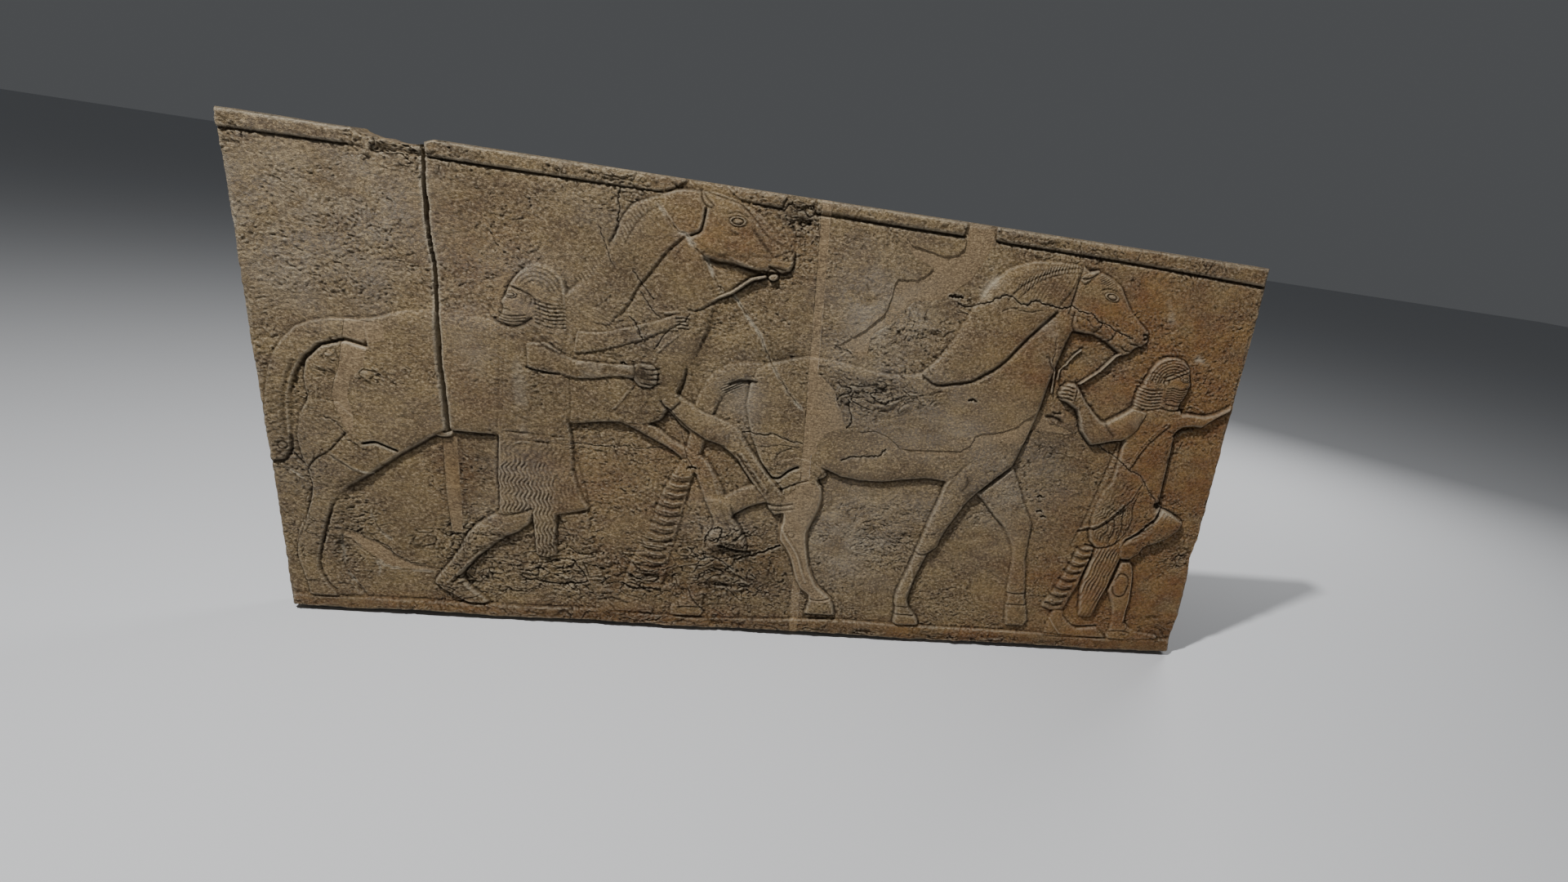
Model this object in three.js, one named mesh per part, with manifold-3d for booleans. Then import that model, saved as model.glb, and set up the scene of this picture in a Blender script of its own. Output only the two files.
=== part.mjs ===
// Stone relief wall panel: two horses led by two grooms, on three slabs with plaster repairs.
// Millimetres. X runs to the viewer's right, Z up, and the carved face looks along -Y.
// The origin is the middle of the flat back face.
import * as THREE from "three";
import Module from "manifold-3d";

const wasm = await Module();
wasm.setup();

// Driving dimensions
const panelWidth = 3300;
const panelHeight = 1600;
const slabDepth = 95;
const clearance = 0.3;
const topBandRelief = 9;
const ledgeRelief = 13;
const bodyRelief = 18;
const farRelief = 12;
const groomRelief = 22;
const armRelief = 27;
const detailRelief = 3;
const edgeSlope = 8;
const footing = 2;
const grooveDepth = 5;
const jointOpening = 11;
const jointOpenDepth = 45;
const jointFillWidth = 32;
const fillDepth = 25;
const layering = 2;
const rootDepth = 25;

// Cutters and the blocks that divide the wall reach past its back and its furthest carving
const behindWall = -1;
const beforeWall = slabDepth + 100;

// The carving is drawn on a sheet, right and up from the lower left corner, and follows the
// panel's own width and height. This is the sheet's upper right corner.
const sheetCorner = [3300, 1600];

function onPanel([right, up]) {
  const x = (right / sheetCorner[0] - 0.5) * panelWidth;
  const z = (up / sheetCorner[1] - 0.5) * panelHeight;
  return new THREE.Vector2(x, z);
}

// Moves each corner of a closed outline along its mitre, out by a distance, or in when it is negative
function grown(corners, distance) {
  const turn = THREE.ShapeUtils.area(corners) > 0 ? 1 : -1;
  return corners.map((corner, i) => {
    const before = corners[(i + corners.length - 1) % corners.length];
    const after = corners[(i + 1) % corners.length];
    const arriving = corner.clone().sub(before).normalize();
    const leaving = after.clone().sub(corner).normalize();
    const normalIn = new THREE.Vector2(arriving.y, -arriving.x);
    const normalOut = new THREE.Vector2(leaving.y, -leaving.x);
    const mitre = normalIn.add(normalOut).normalize();
    const spread = Math.max(mitre.dot(normalOut), 0.5);
    return corner.clone().addScaledVector(mitre, (turn * distance) / spread);
  });
}

// Closed solid with an outline in the panel's plane, from one depth to another, measured from the back.
// A slope narrows its front face.
function block(corners, from, to, slope = 0) {
  const foot = THREE.ShapeUtils.isClockWise(corners) ? [...corners].reverse() : corners;
  const front = slope > 0 ? grown(foot, -slope) : foot;
  const count = foot.length;
  const vertProperties = new Float32Array(6 * count);
  foot.forEach((corner, i) => vertProperties.set([corner.x, -from, corner.y], 3 * i));
  front.forEach((corner, i) => vertProperties.set([corner.x, -to, corner.y], 3 * (count + i)));
  const triangles = [];
  for (const [a, b, c] of THREE.ShapeUtils.triangulateShape(foot, [])) {
    triangles.push(a, c, b);
    triangles.push(count + a, count + b, count + c);
  }
  for (let i = 0; i < count; i += 1) {
    const next = (i + 1) % count;
    triangles.push(i, next, count + next);
    triangles.push(i, count + next, count + i);
  }
  const triVerts = new Uint32Array(triangles);
  return new wasm.Manifold(new wasm.Mesh({ numProp: 3, vertProperties, triVerts }));
}

function joined(solids) {
  return solids.reduce((sum, next) => sum.add(next));
}

function drawn(points) {
  return points.map(onPanel);
}

// A raised form: it stands on its outline in the slab's ground, sunk in by the footing, and narrows
// by the slope up to its front
function raised(points, relief, slope = edgeSlope) {
  const spread = (slope * footing) / relief;
  return block(grown(drawn(points), spread), slabDepth - footing, slabDepth + relief, slope + spread);
}

// The outline of a band of even width along an open line
function alongLine(points, width) {
  const line = points.map(onPanel);
  const sideways = line.map((point, i) => {
    const before = line[Math.max(i - 1, 0)];
    const after = line[Math.min(i + 1, line.length - 1)];
    const course = after.clone().sub(before).normalize();
    return new THREE.Vector2(-course.y, course.x);
  });
  const left = line.map((point, i) => point.clone().addScaledVector(sideways[i], width / 2));
  const right = line.map((point, i) => point.clone().addScaledVector(sideways[i], -width / 2));
  return left.concat(right.reverse());
}

// A cord or strap that lies on the carving, rooted in the slab, and a line cut into the carving
function strap(points, width, relief) {
  return block(alongLine(points, width), slabDepth - rootDepth, slabDepth + relief, width / 4);
}

function groove(points, width, relief) {
  return block(alongLine(points, width), slabDepth + relief - grooveDepth, beforeWall);
}

function oval(right, up, width, height, tilt, relief, corners = 10) {
  const points = [];
  for (let i = 0; i < corners; i += 1) {
    const angle = (i / corners) * 2 * Math.PI;
    const along = (Math.cos(angle) * width) / 2;
    const across = (Math.sin(angle) * height) / 2;
    const leanedX = along * Math.cos(tilt) - across * Math.sin(tilt);
    const leanedZ = along * Math.sin(tilt) + across * Math.cos(tilt);
    points.push([right + leanedX, up + leanedZ]);
  }
  return block(drawn(points), slabDepth - rootDepth, slabDepth + relief, height / 4);
}

// Left horse: large, walking right, its hindquarters at the left edge
function leftHorse() {
  const body = [
    [330, 962], [322, 1046], [400, 1074], [450, 1095], [540, 1104], [640, 1102], [740, 1098], [860, 1150],
    [925, 1205], [985, 1268], [1035, 1330], [1072, 1400], [1092, 1455], [1120, 1500], [1160, 1528],
    [1215, 1552], [1265, 1570], [1320, 1580], [1385, 1576], [1440, 1564], [1490, 1546], [1530, 1522],
    [1568, 1488], [1602, 1450], [1628, 1418], [1636, 1388], [1622, 1364], [1590, 1352], [1500, 1353],
    [1400, 1362], [1352, 1372], [1362, 1330], [1378, 1280], [1384, 1220], [1372, 1150], [1346, 1080],
    [1316, 1015], [1290, 950], [1262, 880], [1225, 815], [1170, 790], [1090, 794], [1000, 782],
    [930, 768], [860, 735], [780, 712], [690, 706], [600, 704], [545, 706], [505, 682], [450, 642],
    [390, 600], [345, 562], [240, 640], [140, 760], [135, 840], [150, 900], [200, 950], [270, 976],
  ];
  const tail = [
    [420, 1085], [370, 1060], [300, 1048], [230, 1041], [180, 1028], [130, 1003], [88, 960], [55, 905],
    [30, 840], [14, 760], [2, 680], [2, 545], [45, 554], [70, 590], [82, 650], [86, 720], [96, 790],
    [116, 850], [150, 905], [200, 953], [270, 977], [325, 965],
  ];
  const nearHind = [
    [345, 562], [290, 520], [238, 482], [200, 440], [172, 392], [152, 342], [140, 300], [126, 250],
    [114, 200], [110, 160], [128, 124], [150, 92], [166, 62], [62, 62], [60, 100], [52, 150], [42, 200],
    [45, 262], [62, 318], [84, 360], [98, 395], [110, 430], [118, 480], [112, 530], [98, 580],
    [92, 640], [110, 720], [150, 790], [240, 780], [330, 680],
  ];
  const farHind = [
    [290, 540], [240, 490], [218, 440], [205, 390], [196, 335], [184, 290], [179, 230], [180, 172],
    [196, 132], [220, 98], [240, 66], [150, 66], [130, 100], [118, 150], [128, 260], [160, 370],
    [185, 450], [200, 540],
  ];
  const farFore = [
    [1090, 794], [1140, 772], [1190, 746], [1240, 722], [1280, 694], [1312, 658], [1338, 632],
    [1352, 596], [1366, 556], [1378, 516], [1392, 476], [1412, 440], [1432, 402], [1440, 372],
    [1436, 345], [1480, 348], [1535, 342], [1532, 384], [1496, 452], [1474, 486], [1460, 520],
    [1448, 552], [1436, 590], [1420, 626], [1400, 662], [1378, 690], [1350, 712], [1310, 730],
    [1262, 752], [1220, 785], [1165, 815], [1100, 838], [1060, 830],
  ];
  const nearFore = [
    [1215, 880], [1250, 846], [1290, 802], [1330, 772], [1372, 758], [1420, 746], [1456, 720],
    [1484, 694], [1504, 660], [1530, 624], [1558, 590], [1584, 556], [1600, 520], [1622, 496],
    [1650, 506], [1705, 512], [1704, 532], [1684, 560], [1650, 592], [1620, 630], [1590, 662],
    [1560, 702], [1532, 738], [1508, 775], [1492, 806], [1470, 826], [1420, 846], [1370, 866],
    [1330, 886], [1290, 908], [1250, 935],
  ];
  const mane = [
    [1120, 1490], [1080, 1410], [1040, 1335], [990, 1270], [935, 1210], [960, 1150], [1000, 1118],
    [1060, 1112], [1095, 1156], [1126, 1200], [1151, 1251], [1182, 1292], [1218, 1344], [1244, 1380],
    [1295, 1431], [1240, 1500], [1200, 1530], [1160, 1518],
  ];
  return [
    raised(body, bodyRelief),
    raised(tail, bodyRelief - detailRelief),
    raised(nearHind, bodyRelief + layering),
    raised(farHind, farRelief),
    raised(farFore, farRelief + layering),
    raised(nearFore, bodyRelief + layering),
    raised(mane, bodyRelief + detailRelief),
    oval(1449, 1497, 34, 20, 0, bodyRelief + detailRelief),
    oval(1569, 1338, 48, 34, 0.3, bodyRelief + detailRelief),
    oval(536, 692, 62, 28, 0.1, bodyRelief - detailRelief),
  ];
}

// Right horse: walking right behind the second groom, its head low, its tail behind the first horse
function rightHorse() {
  const body = [
    [1530, 1040], [1580, 1062], [1640, 1082], [1700, 1096], [1770, 1097], [1850, 1086], [1920, 1074],
    [1990, 1068], [2060, 1076], [2095, 1086], [2150, 1146], [2196, 1222], [2236, 1316], [2286, 1412],
    [2345, 1476], [2430, 1512], [2530, 1524], [2610, 1518], [2640, 1500], [2680, 1506], [2720, 1492],
    [2762, 1468], [2780, 1440], [2812, 1396], [2855, 1356], [2896, 1326], [2906, 1305], [2900, 1286],
    [2880, 1268], [2856, 1260], [2840, 1236], [2812, 1226], [2790, 1240], [2740, 1268], [2690, 1288],
    [2612, 1290], [2598, 1245], [2584, 1190], [2572, 1140], [2560, 1080], [2552, 1020], [2540, 960],
    [2524, 900], [2504, 845], [2484, 775], [2440, 735], [2390, 690], [2360, 650], [2300, 655],
    [2230, 688], [2160, 692], [2080, 678], [2000, 662], [1920, 660], [1850, 668], [1800, 688],
    [1745, 700], [1690, 696], [1645, 664], [1604, 642], [1560, 700], [1520, 800], [1500, 900], [1510, 975],
  ];
  const tail = [
    [1560, 1058], [1500, 1053], [1440, 1040], [1395, 1010], [1360, 965], [1335, 905], [1320, 840],
    [1312, 760], [1300, 700], [1270, 640], [1240, 580], [1215, 520], [1200, 460], [1180, 400],
    [1150, 340], [1120, 270], [1098, 200], [1100, 160], [1160, 150], [1225, 160], [1245, 220],
    [1262, 300], [1280, 380], [1300, 460], [1315, 540], [1335, 620], [1360, 700], [1378, 780],
    [1395, 850], [1415, 900], [1440, 945], [1480, 978], [1535, 988],
  ];
  const nearHind = [
    [1604, 642], [1640, 604], [1642, 560], [1650, 520], [1652, 480], [1644, 440], [1645, 400],
    [1668, 370], [1690, 330], [1704, 280], [1716, 240], [1735, 205], [1766, 182], [1770, 160],
    [1756, 98], [1882, 98], [1872, 140], [1856, 176], [1830, 200], [1800, 225], [1782, 262],
    [1768, 300], [1758, 350], [1750, 400], [1748, 440], [1762, 480], [1782, 530], [1794, 580],
    [1790, 620], [1770, 650], [1800, 690], [1745, 730], [1690, 740], [1620, 720],
  ];
  const farHind = [
    [1604, 642], [1560, 622], [1500, 598], [1440, 560], [1410, 520], [1395, 470], [1385, 420],
    [1378, 380], [1350, 320], [1334, 262], [1318, 205], [1318, 160], [1290, 130], [1262, 100],
    [1262, 62], [1372, 60], [1388, 80], [1380, 120], [1396, 170], [1405, 215], [1415, 270],
    [1430, 330], [1445, 385], [1460, 430], [1478, 484], [1530, 518], [1604, 546], [1642, 604],
    [1690, 650], [1690, 690],
  ];
  const nearFore = [
    [2232, 690], [2222, 640], [2204, 580], [2184, 510], [2166, 440], [2154, 392], [2136, 330],
    [2116, 270], [2100, 215], [2098, 180], [2106, 150], [2102, 84], [2120, 74], [2212, 78],
    [2206, 106], [2184, 136], [2164, 160], [2156, 190], [2162, 230], [2172, 280], [2190, 335],
    [2210, 392], [2242, 420], [2252, 460], [2270, 505], [2296, 552], [2324, 604], [2360, 650],
    [2420, 715], [2484, 775], [2420, 840], [2330, 800],
  ];
  const farFore = [
    [2360, 650], [2400, 610], [2446, 560], [2480, 528], [2510, 488], [2534, 440], [2540, 390],
    [2540, 258], [2550, 232], [2546, 200], [2560, 100], [2640, 100], [2656, 130], [2644, 180],
    [2626, 235], [2620, 290], [2612, 345], [2600, 400], [2600, 500], [2602, 545], [2570, 600],
    [2545, 650], [2520, 705], [2484, 775],
  ];
  const mane = [
    [2130, 1085], [2155, 1140], [2202, 1215], [2243, 1310], [2292, 1402], [2350, 1466], [2430, 1501],
    [2530, 1512], [2600, 1503], [2596, 1450], [2560, 1390], [2541, 1349], [2510, 1313], [2479, 1277],
    [2449, 1241], [2418, 1200], [2387, 1159], [2356, 1128], [2305, 1092], [2274, 1072], [2203, 1054],
    [2151, 1050],
  ];
  const ear = [[2598, 1470], [2618, 1456], [2642, 1474], [2662, 1492], [2674, 1512], [2612, 1494]];
  const plait = [];
  const plaitTop = 615;
  const plaitPitch = 34;
  for (let rung = 0; rung < 13; rung += 1) {
    const up = plaitTop - plaitPitch * rung;
    const lean = (plaitTop - up) * 0.26;
    const bar = [[1258 - lean, up + 8], [1296 - lean, up], [1330 - lean, up + 6]];
    plait.push(strap(bar, 14, farRelief + layering + detailRelief));
  }
  return [
    raised(body, bodyRelief),
    raised(tail, farRelief),
    raised(nearHind, bodyRelief + layering),
    raised(farHind, farRelief + layering),
    raised(nearFore, bodyRelief + layering),
    raised(farFore, farRelief + layering),
    raised(mane, bodyRelief + detailRelief),
    raised(ear, bodyRelief + 2 * detailRelief, 3),
    oval(2728, 1428, 44, 26, -0.15, bodyRelief + detailRelief),
    oval(1772, 668, 76, 46, 0.3, bodyRelief),
    ...plait,
  ];
}

// Left groom: in front of the large horse, looking back to the left, both arms out to the right
function leftGroom() {
  const clothes = [
    [742, 1085], [800, 1100], [900, 1100], [950, 1080], [960, 1040], [935, 990], [925, 920], [930, 800],
    [938, 700], [940, 600], [960, 520], [990, 462], [880, 432], [876, 275], [840, 264], [802, 272],
    [796, 448], [760, 428], [690, 422], [692, 560], [698, 700], [720, 800], [722, 900], [735, 1000],
  ];
  const head = [
    [935, 1080], [934, 1165], [932, 1210], [921, 1251], [900, 1274], [872, 1289], [842, 1290],
    [812, 1277], [788, 1252], [768, 1228], [752, 1200], [745, 1178], [728, 1152], [736, 1140],
    [732, 1120], [722, 1106], [715, 1092], [745, 1082], [830, 1080],
  ];
  const farArm = [
    [940, 1010], [956, 1097], [1028, 1100], [1059, 1108], [1130, 1132], [1218, 1165], [1262, 1186],
    [1300, 1188], [1312, 1165], [1305, 1135], [1275, 1125], [1240, 1122], [1200, 1100], [1156, 1077],
    [1110, 1059], [1033, 1031], [987, 1018],
  ];
  const nearArm = [
    [800, 1040], [869, 1049], [905, 1024], [951, 1001], [1059, 1001], [1126, 1003], [1160, 1015],
    [1200, 1012], [1220, 985], [1215, 940], [1190, 922], [1150, 925], [1131, 949], [1100, 952],
    [1059, 947], [1008, 934], [956, 929], [905, 935], [850, 940], [800, 945],
  ];
  const rearLeg = [
    [700, 480], [685, 430], [641, 401], [610, 375], [579, 334], [554, 283], [523, 232], [492, 191],
    [467, 155], [462, 134], [487, 114], [513, 98], [544, 78], [569, 65], [615, 62], [640, 68], [638, 80],
    [615, 104], [590, 124], [569, 150], [562, 175], [569, 191], [590, 216], [615, 252], [646, 278],
    [672, 304], [708, 334], [749, 355], [790, 391], [806, 430], [800, 480],
  ];
  const frontLeg = [
    [880, 440], [905, 380], [925, 330], [940, 280], [950, 235], [965, 200], [985, 160], [1000, 120],
    [1000, 64], [1200, 64], [1208, 90], [1192, 101], [1121, 119], [1059, 155], [1035, 190],
    [1020, 240], [1010, 290], [1000, 340], [990, 390], [985, 455],
  ];
  const hair = [];
  const hairPitch = 14;
  for (let row = 0; row < 6; row += 1) {
    const up = 1094 + hairPitch * row;
    hair.push(strap([[826, up], [880, up - 5], [930, up + 2]], 9, groomRelief + detailRelief));
  }
  return [
    raised(clothes, groomRelief),
    raised(head, groomRelief),
    raised(farArm, groomRelief + detailRelief),
    raised(nearArm, armRelief),
    raised(rearLeg, bodyRelief),
    raised(frontLeg, farRelief),
    ...hair,
    strap([[1138, 935], [1105, 890], [1085, 860], [1059, 829]], 15, bodyRelief + detailRelief),
    strap([[1195, 1010], [1208, 1049], [1233, 1077], [1295, 1135]], 15, bodyRelief + detailRelief),
    strap(
      [[1225, 1180], [1336, 1205], [1367, 1226], [1397, 1251], [1438, 1272], [1500, 1323], [1550, 1340]],
      14, bodyRelief + 2 * detailRelief,
    ),
  ];
}

// Right groom: in front of the second horse, looking right, one arm back to the horse and one forward
function rightGroom() {
  const robe = [
    [2895, 1049], [2950, 1046], [3005, 1060], [3090, 1058], [3100, 1020], [3090, 960], [3092, 840],
    [3092, 690], [3110, 665], [3085, 610], [3040, 560], [2995, 520], [2985, 430], [2975, 380],
    [2960, 310], [2940, 250], [2930, 190], [2920, 160], [2860, 160], [2850, 230], [2842, 300],
    [2850, 360], [2862, 420], [2870, 470], [2838, 500], [2828, 540], [2828, 603], [2833, 654],
    [2849, 706], [2874, 752], [2882, 834], [2885, 900], [2890, 980],
  ];
  const thigh = [
    [2985, 520], [3040, 560], [3085, 610], [3110, 660], [3140, 650], [3200, 622], [3213, 610],
    [3203, 577], [3162, 534], [3115, 509], [3069, 488], [3060, 460], [3020, 430], [2985, 430],
    [2965, 450], [2962, 490],
  ];
  const tassel = [
    [2797, 460], [2782, 396], [2756, 334], [2731, 273], [2698, 214], [2692, 196], [2740, 182],
    [2795, 188], [2812, 240], [2835, 300], [2846, 360], [2862, 420], [2872, 470], [2835, 478],
  ];
  const head = [
    [2893, 1040], [2896, 1100], [2915, 1140], [2931, 1190], [2951, 1228], [2985, 1246], [3023, 1249],
    [3060, 1240], [3084, 1218], [3092, 1192], [3096, 1175], [3106, 1152], [3100, 1140], [3098, 1120],
    [3092, 1100], [3080, 1080], [3078, 1050], [3040, 1046], [2990, 1038],
  ];
  const nearArm = [
    [2895, 1049], [2864, 1024], [2833, 1003], [2803, 983], [2787, 983], [2751, 1013], [2715, 1049],
    [2690, 1080], [2662, 1112], [2630, 1112], [2608, 1092], [2600, 1065], [2612, 1042], [2640, 1034],
    [2679, 1013], [2695, 983], [2710, 936], [2736, 906], [2762, 883], [2797, 890], [2838, 903],
    [2885, 913], [2930, 960], [2960, 1040],
  ];
  const farArm = [
    [3010, 985], [3020, 1022], [3079, 1040], [3115, 1048], [3190, 1045], [3230, 1060], [3290, 1098],
    [3290, 1072], [3250, 1046], [3215, 1020], [3190, 996], [3150, 996], [3110, 988], [3080, 960],
  ];
  const rearFoot = [
    [2750, 190], [2736, 150], [2726, 76], [2850, 68], [3005, 68], [2975, 100], [2950, 120], [2900, 112],
    [2862, 115], [2830, 135], [2802, 160], [2795, 192],
  ];
  const frontLeg = [
    [2990, 425], [3030, 428], [3050, 400], [3060, 340], [3064, 300], [3069, 252], [3064, 201],
    [3067, 155], [3095, 124], [3141, 109], [3203, 104], [3235, 95], [3225, 76], [3115, 66],
    [3005, 66], [2995, 90], [3005, 110], [3004, 155], [2997, 206], [2985, 240], [2960, 290], [2975, 340],
  ];
  const rows = [];
  const hairPitch = 13;
  for (let row = 0; row < 6; row += 1) {
    const up = 1050 + hairPitch * row;
    rows.push(strap([[2900, up + 4], [2945, up - 4], [2988, up + 3]], 8, groomRelief + detailRelief));
  }
  const tasselTop = 440;
  const tasselPitch = 35;
  for (let rung = 0; rung < 7; rung += 1) {
    const up = tasselTop - tasselPitch * rung;
    const lean = (tasselTop - up) * 0.36;
    const bar = [[2798 - lean, up + 6], [2828 - lean, up - 4], [2862 - lean, up + 4]];
    rows.push(strap(bar, 14, bodyRelief + detailRelief));
  }
  return [
    raised(robe, groomRelief),
    raised(thigh, armRelief),
    raised(tassel, bodyRelief - detailRelief),
    raised(head, groomRelief),
    raised(nearArm, armRelief),
    raised(farArm, groomRelief + detailRelief),
    raised(rearFoot, farRelief),
    raised(frontLeg, bodyRelief),
    strap([[2990, 1162], [3030, 1182], [3084, 1208]], 12, groomRelief + detailRelief),
    strap(
      [[2812, 1240], [2787, 1221], [2767, 1195], [2741, 1164], [2710, 1138], [2670, 1105]],
      12, bodyRelief + detailRelief,
    ),
    strap([[2664, 1236], [2633, 1205], [2613, 1174], [2592, 1149], [2590, 1110]], 9, bodyRelief + layering),
    strap([[2546, 1195], [2556, 1169], [2574, 1149], [2578, 1060]], 9, bodyRelief + detailRelief),
    ...rows,
  ];
}

// Lines cut into the carving: belts, the shawl's edge, cheek, shoulder and thigh lines
function cutLines() {
  return joined([
    groove([[702, 728], [800, 727], [932, 724]], 6, groomRelief),
    groove([[700, 702], [800, 701], [934, 698]], 6, groomRelief),
    groove([[3044, 1003], [3003, 957], [2972, 916], [2946, 865], [2931, 824]], 7, groomRelief),
    groove([[2997, 752], [2972, 685], [2931, 634], [2890, 598], [2850, 560]], 7, groomRelief),
    groove([[1351, 1523], [1346, 1487], [1336, 1451], [1305, 1433]], 7, bodyRelief),
    groove([[1440, 742], [1372, 762], [1305, 803], [1238, 866]], 8, bodyRelief),
    groove([[1700, 695], [1662, 677], [1636, 649], [1605, 642]], 7, bodyRelief),
    groove([[292, 639], [328, 647], [359, 634], [390, 621]], 7, bodyRelief),
  ]);
}

// The face before it is divided: ground, border band, standing ledge and all the carving
const ragged = [[0, 14], [180, 10], [420, 18], [700, 8], [980, 16], [1330, 10], [1720, 16], [2200, 8]];
const wallEdge = [
  ...ragged, [2650, 16], [3000, 8], [3298, 18], [3290, 98], [3300, 200], [3294, 396], [3284, 470],
  [3294, 545], [3300, 700], [3296, 1000], [3300, 1300], [3296, 1600], [566, 1600], [536, 1586],
  [508, 1575], [446, 1579], [374, 1586], [349, 1600], [2, 1600], [4, 1300], [0, 1000], [5, 500],
];
const ledge = [
  ...ragged, [2650, 16], [3000, 8], [3298, 18], [3290, 84], [3000, 70], [2700, 80], [2200, 80],
  [1860, 84], [1700, 75], [1380, 58], [1200, 62], [980, 76], [800, 66], [4, 66],
];
const bands = [
  [[0, 1546], [335, 1552], [531, 1552], [531, 1574], [446, 1578], [374, 1584], [349, 1598], [2, 1600]],
  [[539, 1550], [1200, 1549], [1240, 1560], [1300, 1600], [566, 1600], [539, 1586]],
  [[1400, 1600], [1450, 1562], [1580, 1554], [1600, 1600]],
  [[1690, 1554], [2180, 1554], [2190, 1600], [1690, 1600]],
  [[2290, 1552], [2700, 1549], [2900, 1545], [3100, 1540], [3296, 1534], [3296, 1600], [2285, 1600]],
];
const wall = joined([
  block(drawn(wallEdge), 0, slabDepth),
  raised(ledge, ledgeRelief),
  ...bands.map((points) => raised(points, topBandRelief, edgeSlope / 2)),
  ...leftHorse(),
  ...rightHorse(),
  ...leftGroom(),
  ...rightGroom(),
])
  .subtract(cutLines())
  .intersect(block(drawn(wallEdge), 0, beforeWall));

// The upright joints between the three slabs
const leftJoint = [
  [545, -20], [546, 330], [549, 700], [546, 850], [541, 926], [543, 1030], [541, 1138], [544, 1220],
  [538, 1292], [533, 1344], [533, 1420], [531, 1472], [536, 1523], [531, 1620],
];
const rightJoint = [[1722, -20], [1722, 1620]];
const leftCorners = [[-20, 1620], [-20, -20]];
const rightCorners = [[3320, -20], [3320, 1620]];

// Plaster that fills lost stone, as outlines on the face
const fills = {
  left_joint_fill: [[526, 690], [572, 690], [570, 520], [566, 335], [530, 340], [526, 500]],
  left_fill: [
    [277, 1044], [390, 1040], [388, 985], [340, 975], [322, 900], [277, 849], [267, 793], [277, 700],
    [262, 668], [241, 700], [220, 793], [231, 849], [250, 890], [262, 960],
  ],
  heel_fill: [
    [150, 322], [195, 318], [231, 309], [256, 293], [325, 262], [335, 240], [390, 206], [436, 201],
    [470, 198], [462, 178], [400, 178], [349, 182], [308, 193], [282, 216], [246, 247], [205, 288],
    [150, 306],
  ],
  upper_fill: [
    [2195, 1612], [2179, 1559], [2192, 1544], [2185, 1513], [2169, 1495], [2123, 1482], [2082, 1490],
    [2010, 1503], [1990, 1523], [2000, 1492], [2023, 1467], [2092, 1441], [2067, 1410], [2041, 1395],
    [1979, 1387], [1967, 1369], [1964, 1333], [1944, 1267], [1913, 1236], [1887, 1210], [1851, 1182],
    [1792, 1138], [1831, 1132], [1877, 1102], [1897, 1123], [1908, 1190], [1954, 1226], [1979, 1246],
    [2015, 1297], [2046, 1323], [2103, 1333], [2150, 1350], [2190, 1390], [2224, 1418], [2268, 1497],
    [2286, 1552], [2282, 1612],
  ],
  middle_fill: [
    [2051, 800], [2177, 808], [2274, 816], [2305, 844], [2321, 880], [2408, 903], [2459, 924],
    [2490, 952], [2536, 990], [2562, 990], [2592, 952], [2633, 947], [2700, 926], [2660, 915],
    [2541, 918], [2523, 911], [2510, 877], [2500, 865], [2408, 862], [2377, 854], [2295, 806],
    [2249, 783], [2223, 790], [2118, 790],
  ],
  leg_fill: [
    [1733, 644], [1759, 639], [1779, 626], [1796, 603], [1800, 567], [1788, 522], [1758, 466],
    [1752, 427], [1754, 386], [1758, 345], [1768, 304], [1786, 252], [1808, 218], [1840, 190],
    [1862, 172], [1866, 160], [1766, 155], [1760, 178], [1726, 210], [1708, 250], [1702, 298],
    [1686, 335], [1660, 372], [1640, 396], [1637, 463], [1646, 493], [1645, 560], [1680, 606],
  ],
};
const lobe = [
  [1716, 1050], [1759, 1029], [1800, 988], [1810, 947], [1831, 911], [1851, 854], [1800, 839],
  [1774, 818], [1759, 793], [1754, 752], [1716, 740],
];

// A recess in the slabs, and the plaster body that fits it with the clearance at its sides and floor
function recess(points) {
  return block(drawn(points), slabDepth - fillDepth, beforeWall);
}

function recessInside(points) {
  const deepest = slabDepth - fillDepth + clearance;
  return block(grown(drawn(points), -clearance), deepest, beforeWall);
}

const recesses = joined(Object.values(fills).map(recess));
const jointColumn = block(alongLine(rightJoint, jointFillWidth), behindWall, beforeWall).add(recess(lobe));
const leftOpening = block(alongLine(leftJoint, jointOpening), slabDepth - jointOpenDepth, beforeWall);
const lowerHalf = block(drawn([[400, -20], [700, -20], [700, 700], [400, 700]]), behindWall, beforeWall);
const openJoint = leftOpening.subtract(lowerHalf);

// The slabs between the joints, and the fills
function slabBetween(points) {
  return wall
    .intersect(block(grown(drawn(points), -clearance / 2), behindWall, beforeWall))
    .subtract(recesses)
    .subtract(jointColumn)
    .subtract(openJoint);
}

const pieces = {
  left_slab: slabBetween([...leftCorners, ...leftJoint]),
  middle_slab: slabBetween([...rightJoint, ...[...leftJoint].reverse()]),
  right_slab: slabBetween([...rightCorners, ...[...rightJoint].reverse()]),
};
const stripWidth = jointFillWidth - 2 * clearance;
const strip = block(alongLine(rightJoint, stripWidth), behindWall, beforeWall);
pieces.right_joint_fill = wall.intersect(strip.add(recessInside(lobe))).subtract(recesses);
for (const [name, points] of Object.entries(fills)) {
  pieces[name] = wall.intersect(recessInside(points));
}

const stone = { color: 0x9c7f5c, roughness: 0.92, metalness: 0 };
const ochreStone = { color: 0xa8804f, roughness: 0.92, metalness: 0 };
const plaster = { color: 0xa89468, roughness: 0.85, metalness: 0 };
const finish = { left_slab: stone, middle_slab: stone, right_slab: ochreStone };

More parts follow.
